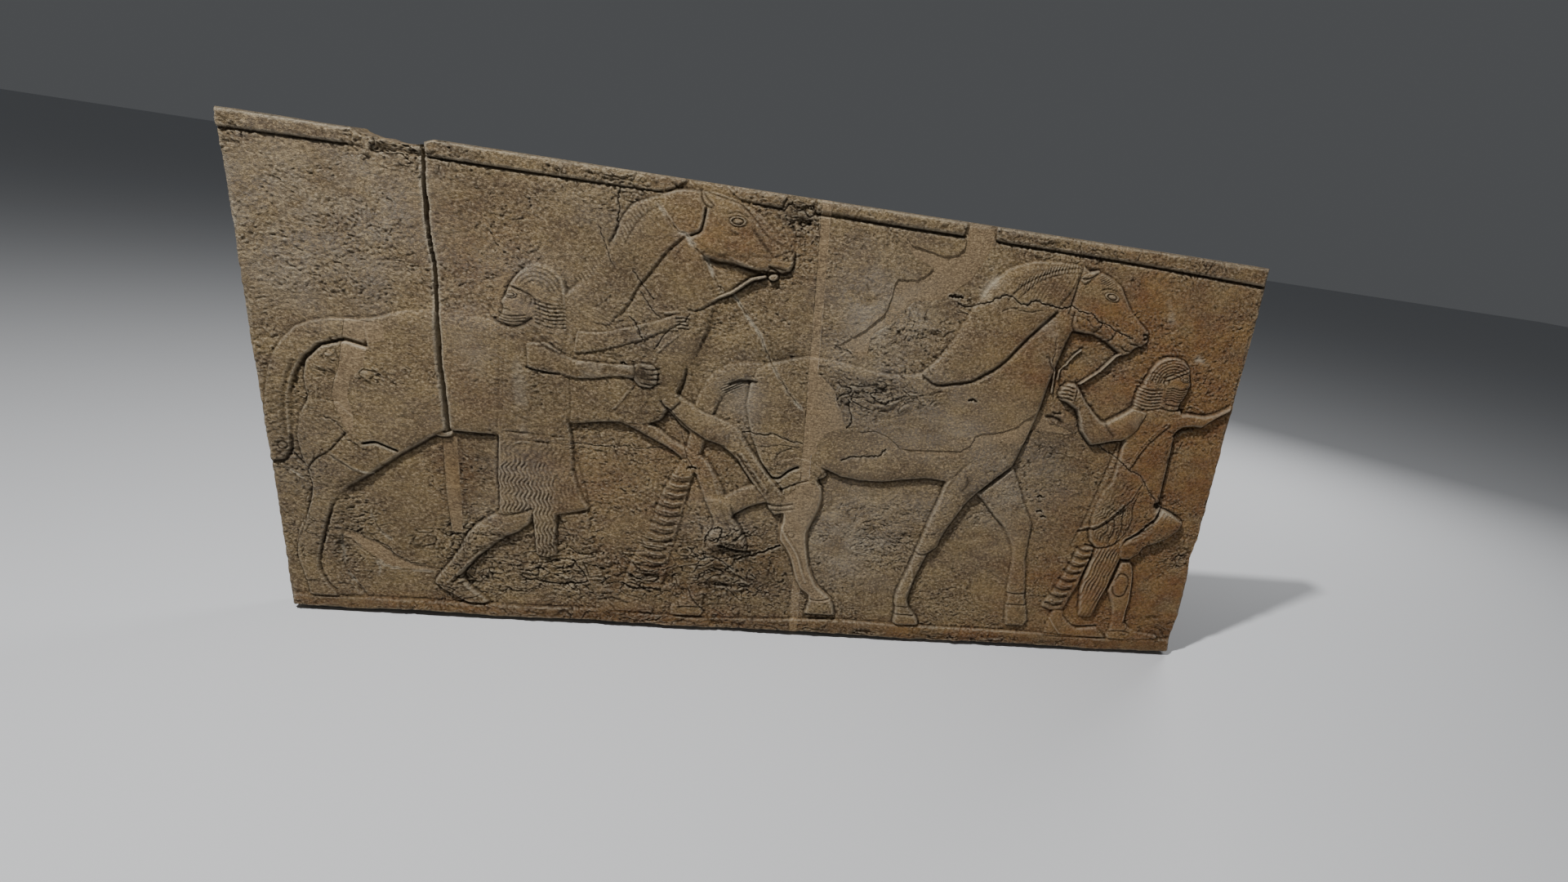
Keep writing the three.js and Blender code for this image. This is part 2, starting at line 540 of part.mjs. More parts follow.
const group = new THREE.Group();
for (const [name, piece] of Object.entries(pieces)) {
  const found = piece.getMesh();
  const geometry = new THREE.BufferGeometry();
  geometry.setAttribute("position", new THREE.BufferAttribute(found.vertProperties, found.numProp));
  geometry.setIndex(new THREE.BufferAttribute(found.triVerts, 1));
  geometry.computeVertexNormals();
  const mesh = new THREE.Mesh(geometry, new THREE.MeshStandardMaterial(finish[name] ?? plaster));
  mesh.name = name;
  group.add(mesh);
}

export default group;
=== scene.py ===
import math

import bpy
import numpy as np
from mathutils import Matrix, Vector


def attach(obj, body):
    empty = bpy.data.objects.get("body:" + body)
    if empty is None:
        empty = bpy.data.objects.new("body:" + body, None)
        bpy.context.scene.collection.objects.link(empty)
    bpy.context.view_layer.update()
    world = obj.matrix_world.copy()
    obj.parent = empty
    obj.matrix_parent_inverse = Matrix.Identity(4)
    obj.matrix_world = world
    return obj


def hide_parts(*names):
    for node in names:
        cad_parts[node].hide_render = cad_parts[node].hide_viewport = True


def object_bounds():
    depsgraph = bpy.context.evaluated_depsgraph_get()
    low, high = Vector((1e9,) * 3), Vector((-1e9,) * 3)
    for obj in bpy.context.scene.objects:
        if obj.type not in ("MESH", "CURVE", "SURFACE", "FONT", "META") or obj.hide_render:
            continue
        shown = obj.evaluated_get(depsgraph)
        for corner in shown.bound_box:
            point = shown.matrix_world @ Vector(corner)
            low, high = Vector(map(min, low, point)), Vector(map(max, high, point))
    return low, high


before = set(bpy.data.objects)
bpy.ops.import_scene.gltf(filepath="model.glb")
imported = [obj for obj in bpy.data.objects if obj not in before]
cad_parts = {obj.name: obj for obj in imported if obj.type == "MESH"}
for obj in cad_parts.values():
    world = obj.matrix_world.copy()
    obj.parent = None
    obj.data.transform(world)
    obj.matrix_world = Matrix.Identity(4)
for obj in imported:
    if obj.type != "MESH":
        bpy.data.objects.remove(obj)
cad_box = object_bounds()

# The sheet on which the carving is drawn
# Millimetres, right and up from the panel's lower left corner, as in the part's source.
# Depths are measured from the flat back, so a larger depth stands further out.
sheet_width = 3300.0
sheet_height = 1600.0
ground = 95.0
grid_step = 2.5
furthest = -cad_box[0][1] * 1000 - 0.5
columns = int(sheet_width / grid_step) + 1
rows = int(sheet_height / grid_step) + 1
across = np.arange(columns) * grid_step
upward = np.arange(rows) * grid_step
U, V = np.meshgrid(across, upward)

# The carved face of the solids
# The frame's pieces are read as one depth map of the front. Each front triangle fills the grid points
# under it with its plane's depth.
def window(points, margin):
    """The part of the grid around some points, as two slices."""
    p = np.array(points, float)
    low = np.floor((p.min(0) - margin) / grid_step).astype(int)
    high = np.ceil((p.max(0) + margin) / grid_step).astype(int) + 1
    over = slice(max(low[0], 0), min(high[0], columns))
    up = slice(max(low[1], 0), min(high[1], rows))
    return up, over


def front_depth(nodes):
    """The largest depth of all front triangles at each grid point, by barycentric interpolation."""
    depth = np.zeros((rows, columns))
    for node in nodes:
        mesh = node.data
        mesh.calc_loop_triangles()
        corners = np.empty(len(mesh.vertices) * 3)
        mesh.vertices.foreach_get("co", corners)
        faces = np.empty(len(mesh.loop_triangles) * 3, int)
        mesh.loop_triangles.foreach_get("vertices", faces)
        p = corners.reshape(-1, 3)[faces.reshape(-1, 3)] * 1000
        u = p[:, :, 0] + sheet_width / 2
        v = p[:, :, 2] + sheet_height / 2
        d = -p[:, :, 1]
        twice = (u[:, 1] - u[:, 0]) * (v[:, 2] - v[:, 0]) - (u[:, 2] - u[:, 0]) * (v[:, 1] - v[:, 0])
        for i in np.flatnonzero(twice > 0.01):
            up, over = window(np.stack([u[i], v[i]], axis=1), 0)
            x = U[up, over] - u[i, 0]
            y = V[up, over] - v[i, 0]
            s = (x * (v[i, 2] - v[i, 0]) - y * (u[i, 2] - u[i, 0])) / twice[i]
            t = (y * (u[i, 1] - u[i, 0]) - x * (v[i, 1] - v[i, 0])) / twice[i]
            under = (s > -1e-6) & (t > -1e-6) & (s + t < 1 + 1e-6)
            plane = d[i, 0] + s * (d[i, 1] - d[i, 0]) + t * (d[i, 2] - d[i, 0])
            depth[up, over] = np.maximum(depth[up, over], np.where(under, plane, 0))
    return depth


solid_relief = np.clip(front_depth(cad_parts.values()) - ground, 0, None)

# Round the carving off
# The relief is cut into thin layers. Each layer's edge becomes a quarter round with a soft swelling
# towards its middle, so limbs read as rounded and overlapping forms keep their steps.
def blurred(field, radius):
    """The field averaged three times over a square of this radius in millimetres, close to a bell curve."""
    reach = max(1, int(round(radius / grid_step / 1.7)))
    for axis in (0, 1, 0, 1, 0, 1):
        pad = [(0, 0), (0, 0)]
        pad[axis] = (reach + 1, reach)
        total = np.cumsum(np.pad(field, pad, mode="edge"), axis=axis)
        span = 2 * reach + 1
        if axis == 0:
            field = (total[span:] - total[:-span]) / span
        else:
            field = (total[:, span:] - total[:, :-span]) / span
    return field


def blobs(places, most=1.0):
    """A sum of soft ellipses, kept between 0 and the most allowed.

    Each is given as right, up, half width, half height and strength, and falls off as a bell curve.
    """
    total = np.zeros((rows, columns))
    for right, up, wide, tall, amount in places:
        total += amount * np.exp(-(((U - right) / wide) ** 2) - ((V - up) / tall) ** 2)
    return np.clip(total, 0, most)


layer = 3.0
relief = np.zeros((rows, columns))
for top in np.arange(layer, solid_relief.max() + layer, layer):
    filled = (solid_relief > top - layer / 2).astype(float)
    edge = np.clip(2 * blurred(filled, 4.3) - 0.8, 0, 1)
    middle = np.clip(2 * blurred(filled, 26) - 1, 0, 1)
    relief += layer * (0.68 * np.sqrt(1 - (1 - edge) ** 2) + 0.32 * middle * edge)

# Where the panel is worn its outlines have almost gone, so the steps there are spread out. Elsewhere the
# ground is cut a little deeper along the foot of each step, which draws the dark line under it.
faint = blobs([
    (200, 1050, 150, 45, 0.35), (450, 1105, 140, 45, 0.5), (650, 1110, 120, 40, 0.7),
    (50, 850, 70, 210, 0.55), (10, 640, 50, 100, 0.4), (110, 650, 70, 90, 0.4), (60, 380, 60, 160, 0.4),
    (120, 180, 100, 130, 0.6), (218, 420, 32, 80, 0.8), (430, 1562, 90, 50, 0.85),
    (215, 230, 60, 170, 0.6), (715, 830, 45, 130, 0.5), (935, 820, 45, 130, 0.5),
    (690, 560, 35, 130, 0.65), (965, 580, 55, 130, 0.5), (860, 1280, 110, 45, 0.5),
    (1010, 1330, 110, 130, 0.75), (1110, 1480, 110, 90, 0.55), (1250, 1560, 130, 45, 0.35),
    (1450, 1550, 120, 45, 0.45), (1600, 1470, 80, 80, 0.75), (1345, 1240, 70, 150, 0.9),
    (1310, 1000, 60, 110, 0.75), (950, 320, 120, 140, 0.6), (1090, 110, 140, 60, 0.6),
    (1180, 400, 120, 260, 0.3), (1400, 250, 190, 190, 0.8), (1370, 480, 70, 90, 0.4),
    (1560, 1065, 150, 40, 0.3), (1760, 1100, 100, 40, 0.5), (1960, 1075, 150, 40, 0.5),
    (1440, 930, 60, 90, 0.6), (1480, 820, 70, 90, 0.4), (2250, 1270, 120, 120, 0.6),
    (2420, 1450, 120, 80, 0.4), (2560, 1530, 90, 30, 0.5), (2740, 1490, 60, 40, 0.4),
    (2840, 1380, 60, 50, 0.4), (2560, 420, 90, 250, 0.45), (2180, 420, 110, 260, 0.2),
    (2850, 680, 70, 170, 0.55), (2900, 160, 110, 45, 0.5), (2760, 320, 90, 160, 0.4),
    (3040, 250, 80, 170, 0.4), (2800, 110, 130, 50, 0.4), (3130, 95, 120, 50, 0.5),
])
relief = relief * (1 - faint) + blurred(relief, 24) * faint
gone = 0.7 * faint**3
relief = relief * (1 - gone) + blurred(relief, 60) * gone
relief -= 0.85 * np.clip(blurred(relief, 10) - relief, 0, 7) * (1 - 0.8 * faint)

# The stone's cut detail
# The carver's chisel and point, as tools that work on the relief and paint shade into what they cut. The
# finishes read the maps of dirt with painted shade and of pale scuffs with painted highlights later, and
# the weathering reads how rough the stone is.
chance = np.random.default_rng(7)
# Soil stains, and painted shade in cuts, pits, hollows and under edges that face down.
dirt_and_painted_shade = np.zeros((rows, columns))
# Pale wear and chips, and painted highlights on ridges and on the lit lips of some cracks.
pale_wear_and_highlight = np.zeros((rows, columns))
rough = np.full((rows, columns), 0.8)


def noise(cell_across, cell_up):
    """Random values from -1 to 1 on a coarse grid of such cells, joined by smooth curves both ways."""
    def weights(count, cell):
        place = np.arange(count) * grid_step / cell
        low = place.astype(int)
        t = place - low
        t = t * t * t * (t * (6 * t - 15) + 10)
        table = np.zeros((count, low.max() + 2))
        table[np.arange(count), low] = 1 - t
        table[np.arange(count), low + 1] = t
        return table
    up = weights(rows, cell_up)
    over = weights(columns, cell_across)
    return up @ chance.uniform(-1, 1, (up.shape[1], over.shape[1])) @ over.T


def curve(points, parts=4, closed=False):
    """A smooth line through the points: a Catmull-Rom curve with this many parts between two points."""
    p = np.array(points, float)
    if closed:
        p = np.vstack([p[-1], p, p[0], p[1]])
    else:
        p = np.vstack([2 * p[0] - p[1], p, 2 * p[-1] - p[-2]])
    a, b, c, d = p[:-3], p[1:-2], p[2:-1], p[3:]
    t = (np.arange(parts) / parts)[None, :, None]
    a, b, c, d = a[:, None], b[:, None], c[:, None], d[:, None]
    bend = 2 * a - 5 * b + 4 * c - d
    path = 0.5 * (2 * b + (c - a) * t + bend * t**2 + (3 * b - a - 3 * c + d) * t**3).reshape(-1, 2)
    return path if closed else np.vstack([path, p[-2]])


def near_line(path, reach):
    """The grid around a line, each point's distance from it, and how far along the nearest place is."""
    up, over = window(path, reach)
    u, v = U[up, over], V[up, over]
    nearest = np.full(u.shape, 1e9)
    along = np.zeros(u.shape)
    done = 0.0
    for start, end in zip(path[:-1], path[1:]):
        run = end - start
        length = math.hypot(*run)
        t = ((u - start[0]) * run[0] + (v - start[1]) * run[1]) / max(length**2, 1e-9)
        t = np.clip(t, 0, 1)
        apart = np.hypot(u - start[0] - t * run[0], v - start[1] - t * run[1])
        closer = apart < nearest
        nearest[closer] = apart[closer]
        along[closer] = done + t[closer] * length
        done += length
    return up, over, nearest, along


def inside(outline):
    """1 inside a closed outline and 0 outside it, by counting the edges that a ray to the right crosses."""
    up, over = window(outline, 0)
    u, v = U[up, over], V[up, over]
    odd = np.zeros(u.shape, bool)
    for (u0, v0), (u1, v1) in zip(outline, np.roll(outline, -1, axis=0)):
        if v0 != v1:
            crosses = ((v0 > v) != (v1 > v)) & (u < (u1 - u0) * (v - v0) / (v1 - v0) + u0)
            odd ^= crosses
    mask = np.zeros((rows, columns))
    mask[up, over] = odd
    return mask


def area(points, soft=6):
    """A smooth outline's inside, with its edge softened over so many millimetres."""
    return blurred(inside(curve(points, closed=True)), soft)


def cut(points, width, depth, groove_shade=0.85):
    """Takes a rounded groove out of the carving along a smooth line. A negative depth raises a rib."""
    up, over, apart, _ = near_line(curve(points), width * 1.5)
    shape = np.exp(-((apart / (width * 0.58)) ** 2))
    relief[up, over] -= depth * shape
    # The groove is painted darker too: painted shade in the cut.
    if depth > 0:
        dirt_and_painted_shade[up, over] = np.maximum(dirt_and_painted_shade[up, over], groove_shade * shape)


def strokes(points, pitch, depth, lean, sway=0.0, sway_length=40.0):
    """Covers an area with parallel rounded strands at an angle in degrees from upright.

    The strands' height is the absolute sine of the distance across them, which sways along them as a sine.
    """
    mask = area(points, 4)
    angle = math.radians(lean)
    along = V * math.cos(angle) + U * math.sin(angle)
    side = U * math.cos(angle) - V * math.sin(angle) + sway * np.sin(along * 2 * math.pi / sway_length)
    side = side + 0.45 * pitch * noise(70, 45)
    wave = np.abs(np.sin(side * math.pi / pitch))
    kept = mask * (0.7 + 0.5 * noise(60, 45))
    relief[:] += kept * depth * (wave - 0.7)
    # Painted shade in the hollows between the strands.
    dirt_and_painted_shade[:] = np.maximum(dirt_and_painted_shade, kept * 0.85 * (1 - wave) ** 2)
    rough[:] *= 1 - 0.5 * mask


def swell(points, height, soft=16):
    """Raises a soft-edged muscle or fold inside an outline."""
    relief[:] += height * area(points, soft)


def rings(centre, first, spacing, count, start, stop, depth, squash=1.0):
    """Cuts arcs around a centre between two angles in degrees, from a first radius evenly outwards."""
    angles = np.radians(np.linspace(start, stop, 9))
    for ring in range(count):
        radius = first + ring * spacing
        over = centre[0] + radius * np.cos(angles)
        up = centre[1] + squash * radius * np.sin(angles)
        cut(np.stack([over, up], axis=1), 5, depth, 0.75)


def eye(right, up, width, height, tilt):
    """An almond eye: a round ball between two raised lids with a cut around them."""
    angle = math.radians(tilt)
    u = (U - right) * math.cos(angle) + (V - up) * math.sin(angle)
    v = (V - up) * math.cos(angle) - (U - right) * math.sin(angle)
    off = np.hypot(u / (width / 2), v / (height / 2))
    relief[:] += 3.5 * np.clip(1 - off**2, 0, 1) + 2.5 * np.exp(-(((off - 1.1) / 0.16) ** 2))
    rim = np.exp(-(((off - 0.8) / 0.13) ** 2)) + 0.7 * np.exp(-(((off - 1.36) / 0.16) ** 2))
    relief[:] -= 3.6 * rim
    # Painted shade in the cut around the lids.
    dirt_and_painted_shade[:] = np.maximum(dirt_and_painted_shade, 0.95 * np.clip(rim, 0, 1))
    rough[:] *= 1 - 0.7 * np.exp(-((off / 2) ** 4))


# Left horse's cut detail
# The same stone, cut with shallow lines: mane edge, cheek, eye, mouth, chest folds, tendons and hooves.
swell([(1010, 1080), (1150, 1060), (1240, 980), (1230, 880), (1120, 820), (1000, 840), (960, 950)], 4, 30)
swell([(160, 900), (330, 960), (450, 900), (480, 760), (380, 660), (260, 640), (160, 740)], 4, 30)
swell([(120, 600), (200, 640), (300, 600), (220, 500), (130, 500)], 3)
swell([(1120, 1400), (1250, 1500), (1330, 1400), (1300, 1250), (1180, 1150), (1080, 1180)], 3, 26)
swell([(1350, 1500), (1380, 1525), (1425, 1470), (1440, 1410), (1400, 1380), (1352, 1395)], 4)
swell([(1500, 1400), (1570, 1400), (1620, 1370), (1560, 1362), (1500, 1370)], 3, 9)
swell([(1260, 870), (1340, 865), (1440, 805), (1450, 765), (1360, 785), (1290, 825)], 4, 12)
swell([(1060, 815), (1150, 800), (1240, 745), (1260, 715), (1160, 760), (1070, 795)], 4, 10)
cut([
    (1295, 1431), (1244, 1380), (1218, 1344), (1182, 1292), (1151, 1251), (1126, 1200), (1095, 1156),
], 7, 3.9, 0.5)
cut([(1351, 1523), (1346, 1487), (1336, 1451), (1305, 1433)], 7, 4.7)
cut([(1352, 1366), (1387, 1360), (1430, 1366), (1480, 1354), (1533, 1342)], 8, 6.2, 0.9)
cut([(1634, 1424), (1634, 1392), (1622, 1364), (1600, 1350), (1575, 1362), (1556, 1370)], 7, 6.2, 0.8)
cut([
    (1306, 1200), (1336, 1202), (1367, 1220), (1397, 1244), (1438, 1264), (1469, 1288), (1500, 1313),
    (1540, 1330),
], 7, 4.7, 0.9)
cut([(1418, 1514), (1446, 1525), (1480, 1514)], 6, 3, 0.7)
cut([(1500, 1478), (1530, 1440), (1560, 1410)], 10, 2.3)
cut([(1360, 1392), (1400, 1384), (1450, 1386), (1500, 1392)], 12, 2.3, 0.3)
cut([(1554, 1372), (1579, 1370), (1606, 1366)], 5, 4.7)
cut([(1598, 1398), (1608, 1406), (1614, 1396)], 6, 4.7)
eye(1449, 1497, 42, 23, 4)
rings((1566, 1346), 20, 9, 1, 0, 360, 4)
cut([(1205, 1540), (1250, 1562), (1290, 1571), (1332, 1573)], 7, 4)
cut([(1330, 1576), (1400, 1562), (1455, 1550), (1482, 1530)], 6, 3.5)
cut([(1205, 1540), (1170, 1526), (1130, 1506), (1095, 1460), (1070, 1402), (1058, 1378)], 7, 3.5)
cut([(1212, 1510), (1178, 1488), (1150, 1458), (1125, 1418), (1108, 1378)], 6, 2, 0.5)
cut([(1334, 1572), (1338, 1548), (1352, 1530), (1368, 1526)], 6, 4)
cut([(1340, 1570), (1356, 1550), (1374, 1534)], 5, 3)
cut([(1482, 1530), (1512, 1500), (1542, 1466), (1574, 1450), (1604, 1438)], 7, 3, 0.6)
cut([(1430, 1384), (1462, 1372), (1500, 1362), (1530, 1352)], 8, -3.5)
cut([(1490, 1400), (1530, 1398), (1572, 1404), (1600, 1420)], 7, 2.5, 0.6)
cut([(1303, 1003), (1295, 952), (1279, 906)], 7, 3.9)
cut([(1223, 885), (1249, 854), (1285, 885)], 7, 4.7)
cut([(1310, 1290), (1330, 1220), (1330, 1150)], 14, 2.3, 0.2)
cut([(292, 639), (328, 647), (359, 634), (390, 621)], 7, 5.4)
cut([(190, 603), (246, 562), (277, 542), (308, 529)], 7, -3.9)
cut([(122, 540), (150, 575), (190, 603), (225, 645), (246, 670)], 6, 4.7)
cut([(77, 577), (103, 545), (128, 529)], 7, 4.7)
cut([(1497, 726), (1530, 680), (1560, 640), (1590, 598)], 9, -4.7)
cut([(1484, 720), (1518, 672), (1548, 632), (1578, 590)], 6, 3.9)
cut([(1376, 690), (1398, 640), (1414, 590), (1432, 540)], 9, -3.1)
cut([(1600, 541), (1641, 541), (1685, 552)], 6, 5.4)
cut([(1612, 520), (1652, 524), (1692, 534)], 5, 3.1)
cut([(139, 294), (117, 222), (111, 167), (128, 122), (150, 92)], 6, 3.5, 0.6)
cut([(186, 300), (183, 233), (184, 172), (211, 122), (236, 78)], 6, 2.5, 0.4)
cut([(111, 456), (94, 378), (78, 322), (50, 256), (40, 200)], 7, 3, 0.6)
for row in range(14):
    high = 905 - 25 * row + 7 * math.sin(5 * row)
    start = 16 + 12 * math.sin(3 * row)
    cut([(start, high - 12), (start + 22, high - 1), (start + 44, high + 5)], 7, 1.7, 0.45)
rings((50, 606), 13, 9, 1, -60, 230, 3)
cut([(62, 118), (90, 124), (122, 118)], 5, 2)
cut([(150, 112), (180, 116), (205, 108)], 5, 2)
cut([(66, 640), (68, 720), (84, 810), (118, 890)], 11, 3.9, 0.4)
cut([(0, 541), (40, 548), (62, 570), (76, 605), (77, 640)], 8, 3.9, 0.6)
swell([(1375, 548), (1402, 478), (1411, 442), (1390, 392), (1400, 350), (1440, 366), (1529, 346),
       (1531, 378), (1515, 424), (1484, 478), (1465, 535)], 9, 7)
cut([(1467, 530), (1484, 478), (1515, 424), (1530, 378), (1530, 348)], 8, 3.5, 0.7)
cut([(1373, 545), (1400, 478), (1408, 442), (1384, 387)], 8, 3.5, 0.7)
cut([(1432, 530), (1450, 480), (1472, 430)], 8, 2, 0.4)
strokes([(930, 1110), (1060, 1108), (1062, 1152), (1000, 1165), (940, 1150)], 9, 4, -55)
strokes([(955, 1240), (1005, 1265), (1040, 1330), (1075, 1400), (1020, 1330), (965, 1262)], 13, 3.6, -40)
strokes([(1085, 1400), (1150, 1500), (1200, 1530), (1160, 1470), (1110, 1390)], 12, 4, -30)

# Right horse's cut detail
# Cut lines on the second horse: mane edge and hatched crest, ear, eye, nostril, mouth, knees and hooves.
cut(
    [(2541, 1349), (2510, 1313), (2479, 1277), (2449, 1241), (2418, 1200), (2387, 1159), (2356, 1128),
     (2305, 1092), (2274, 1072), (2203, 1054), (2151, 1046), (2108, 1067)], 10, 8.5, 0.95)
swell([(2230, 820), (2340, 870), (2460, 900), (2485, 800), (2400, 700), (2300, 640), (2230, 700)], 5, 24)
swell([(2290, 650), (2330, 660), (2340, 705), (2312, 732), (2284, 700)], 3, 8)
swell([(2210, 650), (2330, 600), (2270, 480), (2200, 420), (2200, 520)], 3, 14)
swell([(1760, 760), (2200, 800), (2200, 730), (1900, 690), (1790, 710)], 3, 20)
swell([(2300, 1230), (2450, 1420), (2580, 1480), (2570, 1390), (2430, 1280), (2330, 1150)], 3, 22)
swell([(2420, 1150), (2560, 1330), (2586, 1290), (2560, 1100), (2500, 1000), (2420, 1050)], 3, 22)
swell([(1500, 1030), (1650, 1060), (1700, 950), (1600, 850), (1490, 890)], 3, 30)
swell([(2612, 1370), (2608, 1312), (2645, 1296), (2690, 1304), (2706, 1334), (2680, 1366)], 4, 9)
swell([(2700, 1310), (2745, 1280), (2800, 1262), (2812, 1280), (2760, 1306), (2715, 1330)], 3, 6)
swell([(2750, 1440), (2800, 1392), (2860, 1340), (2850, 1325), (2790, 1372), (2740, 1415)], 3, 7)
cut([(2360, 1370), (2403, 1424), (2459, 1462), (2521, 1490), (2597, 1508)], 6, 3.4, 0.5)
cut([(2400, 1384), (2440, 1430), (2490, 1462), (2550, 1484), (2597, 1490)], 5, 2.8, 0.4)
cut([(2606, 1512), (2600, 1470), (2592, 1410), (2584, 1352)], 6, 4.7)
strokes(
    [(2380, 1420), (2479, 1490), (2551, 1518), (2604, 1516), (2597, 1496), (2521, 1480),
     (2459, 1448), (2410, 1392)],
    10, 4.2, 12)
strokes([(2420, 1400), (2470, 1440), (2540, 1470), (2588, 1474), (2570, 1400), (2480, 1380)], 12, 2.4, 20)
strokes([(2676, 1500), (2756, 1462), (2746, 1440), (2680, 1468)], 7, 3.5, 60)
cut([(2606, 1474), (2634, 1478), (2660, 1496)], 6, 4.7)
cut([(2604, 1360), (2602, 1320), (2616, 1296), (2650, 1288)], 6, 3.9)
cut([(2706, 1352), (2712, 1325), (2690, 1300)], 6, 3.1)
cut([(2770, 1310), (2762, 1292), (2742, 1272)], 5, 3.1)
eye(2728, 1428, 42, 22, -10)
cut([(2690, 1448), (2714, 1453), (2744, 1447), (2764, 1430)], 6, 3, 0.6)
cut([(2690, 1404), (2714, 1398), (2744, 1404)], 8, 1.5, 0.3)
cut([(2878, 1312), (2892, 1312), (2896, 1302), (2884, 1298)], 9, 9.3, 1.0)
cut([(2833, 1275), (2859, 1273), (2884, 1264)], 5, 6.2, 0.9)
cut([(2800, 1262), (2815, 1250), (2838, 1248)], 5, 4.7)
cut([(2620, 1330), (2660, 1310), (2705, 1300), (2760, 1280)], 9, 2.3, 0.3)
cut([(2664, 1240), (2633, 1208), (2613, 1176), (2595, 1150)], 6, 4.7, 0.6)
cut([(2542, 1192), (2553, 1166), (2572, 1146)], 5, 4.7)
strokes([(2562, 1148), (2594, 1150), (2592, 1050), (2562, 1056)], 8, 2.4, 2)
cut([(2162, 392), (2182, 388), (2206, 393)], 6, 4.7)
cut([(2150, 330), (2160, 280), (2142, 210)], 9, -3.1)
cut([(2106, 124), (2140, 128), (2182, 124)], 5, 4.7)
cut([(2106, 158), (2128, 162), (2160, 158)], 5, 3.1)
cut([(2546, 250), (2580, 248), (2624, 252)], 5, 4.7)
cut([(2550, 198), (2590, 200), (2636, 200)], 5, 3.9)
cut([(2300, 665), (2318, 690), (2312, 720)], 10, 3.9)
cut([(2240, 640), (2262, 700), (2300, 760), (2370, 800)], 14, 3.1, 0.25)
cut([(1605, 642), (1636, 649), (1662, 677), (1692, 695)], 8, 6.2)
cut([(1646, 606), (1687, 629), (1733, 647)], 6, 5.4)
cut([(1610, 716), (1630, 745), (1667, 762)], 6, 3.1)
cut([(1477, 483), (1528, 519), (1569, 539), (1605, 545)], 7, 6.2)
cut([(1446, 967), (1477, 983), (1503, 985), (1533, 985)], 9, 7.8)
strokes([(1430, 930), (1487, 960), (1490, 992), (1440, 985), (1415, 950)], 8, 4, 60)
cut([(1651, 457), (1672, 416), (1692, 391), (1718, 345), (1733, 298), (1754, 242)], 11, -4.7)
cut([(1668, 440), (1690, 405), (1712, 372), (1732, 330), (1746, 280)], 6, 3.1)
cut([(1778, 168), (1810, 165), (1850, 172)], 5, 4.7)
rings((1688, 432), 13, 9, 1, 0, 360, 2.5)
cut([(1326, 180), (1346, 134), (1387, 83)], 6, 3.9)
cut([(1290, 98), (1330, 104), (1380, 100)], 5, 3.1)
for row in range(13):
    high = 598 - 34 * row
    lean = (615 - high) * 0.26
    start, end = chance.uniform(-8, 8, 2)
    left, middle, right = 1246 - lean + start, 1290 - lean, 1326 - lean + end
    cut([(left, high + 7), (middle, high - 3), (right, high + 5)], 11, 4.7, 0.6)

# Left groom's cut detail
# A fringed robe with belts, a hair bunch in rows, bare forearms and lower legs. The face is a plain one.
swell([(600, 250), (690, 330), (760, 390), (700, 402), (620, 370), (575, 300)], 3, 10)
strokes([(700, 600), (792, 620), (794, 460), (755, 440), (698, 440)], 14, 5.6, 3, 6, 52)
strokes([(800, 600), (874, 590), (872, 300), (806, 296)], 13, 5.4, -2, 5, 56)
strokes([(884, 560), (940, 560), (985, 474), (884, 450)], 13, 1.9, -10, 3, 50)
strokes([(710, 690), (900, 690), (900, 620), (710, 610)], 16, 1.9, 25, 4, 50)
cut([(758, 690), (780, 698), (803, 696)], 6, -3.1)
cut([(690, 424), (718, 422), (754, 435), (795, 452)], 7, 3.1)
cut([(803, 952), (833, 947), (869, 942), (905, 944)], 7, 5.4)
cut([(850, 1036), (880, 1020), (915, 1008)], 8, 3.1)
cut([(1000, 968), (1060, 972), (1120, 975)], 16, 2.3, 0.2)
cut([(1060, 1078), (1130, 1103), (1200, 1132)], 14, 1.9, 0.2)
for finger in range(4):
    low = 938 + 17 * finger
    cut([(1160, low + 4), (1188, low), (1216, low + 5)], 5, 5.4)
    cut([(1268, 1136 + 11 * finger), (1288, 1139 + 11 * finger), (1306, 1138 + 11 * finger)], 4, 3.9)
cut([(1134, 952), (1142, 975), (1136, 1000)], 7, 3.9)
for row in range(7):
    high = 1092 + 12 * row
    cut([(838, high + 8), (880, high - 2), (926, high + 2)], 5, 3.1, 0.6)
for side in (848, 872, 896, 918):
    cut([(side, 1090), (side + 4, 1125), (side, 1165)], 4, 1.9, 0.4)
rings((842, 1186), 44, 13, 4, 20, 150, 1.5, 1.06)
cut([(905, 1240), (915, 1205), (918, 1175)], 7, 3.1, 0.5)
cut([(711, 1094), (735, 1084), (765, 1079), (795, 1090), (823, 1112)], 10, 6, 1.0)
cut([(764, 1206), (800, 1196), (832, 1180), (838, 1158)], 6, 3.9)
for row in range(3):
    cut([(724, 1098 + 9 * row), (760, 1094 + 9 * row), (806, 1102 + 9 * row)], 5, 3.1)
face = area([(730, 1230), (735, 1100), (800, 1090), (850, 1120), (850, 1200), (790, 1240)], 8)
rough *= 1 - 0.85 * face
eye(764, 1180, 32, 15, 4)
cut([(742, 1198), (764, 1204), (790, 1197)], 6, 2.4)
cut([(738, 1132), (752, 1133), (762, 1130)], 4, 3.1)
rings((818, 1170), 9, 9, 1, -80, 200, 2.5, 1.4)
cut([(513, 150), (550, 190), (590, 238), (626, 273)], 8, -4.7)
cut([(528, 148), (565, 190), (606, 240), (640, 272)], 5, 3.9)
cut([(480, 132), (505, 128), (530, 118)], 6, 3.1)
cut([(560, 84), (590, 92), (612, 100)], 5, 3.1)
cut([(960, 255), (972, 225), (980, 205)], 6, 4.7)
cut([(1010, 110), (1060, 120), (1110, 104)], 7, 3.1)
cut([(728, 1086), (722, 1000), (716, 900), (708, 800), (700, 720)], 7, 1.5, 0.2)
cut([(932, 932), (934, 860), (930, 780), (936, 720)], 7, 2, 0.4)
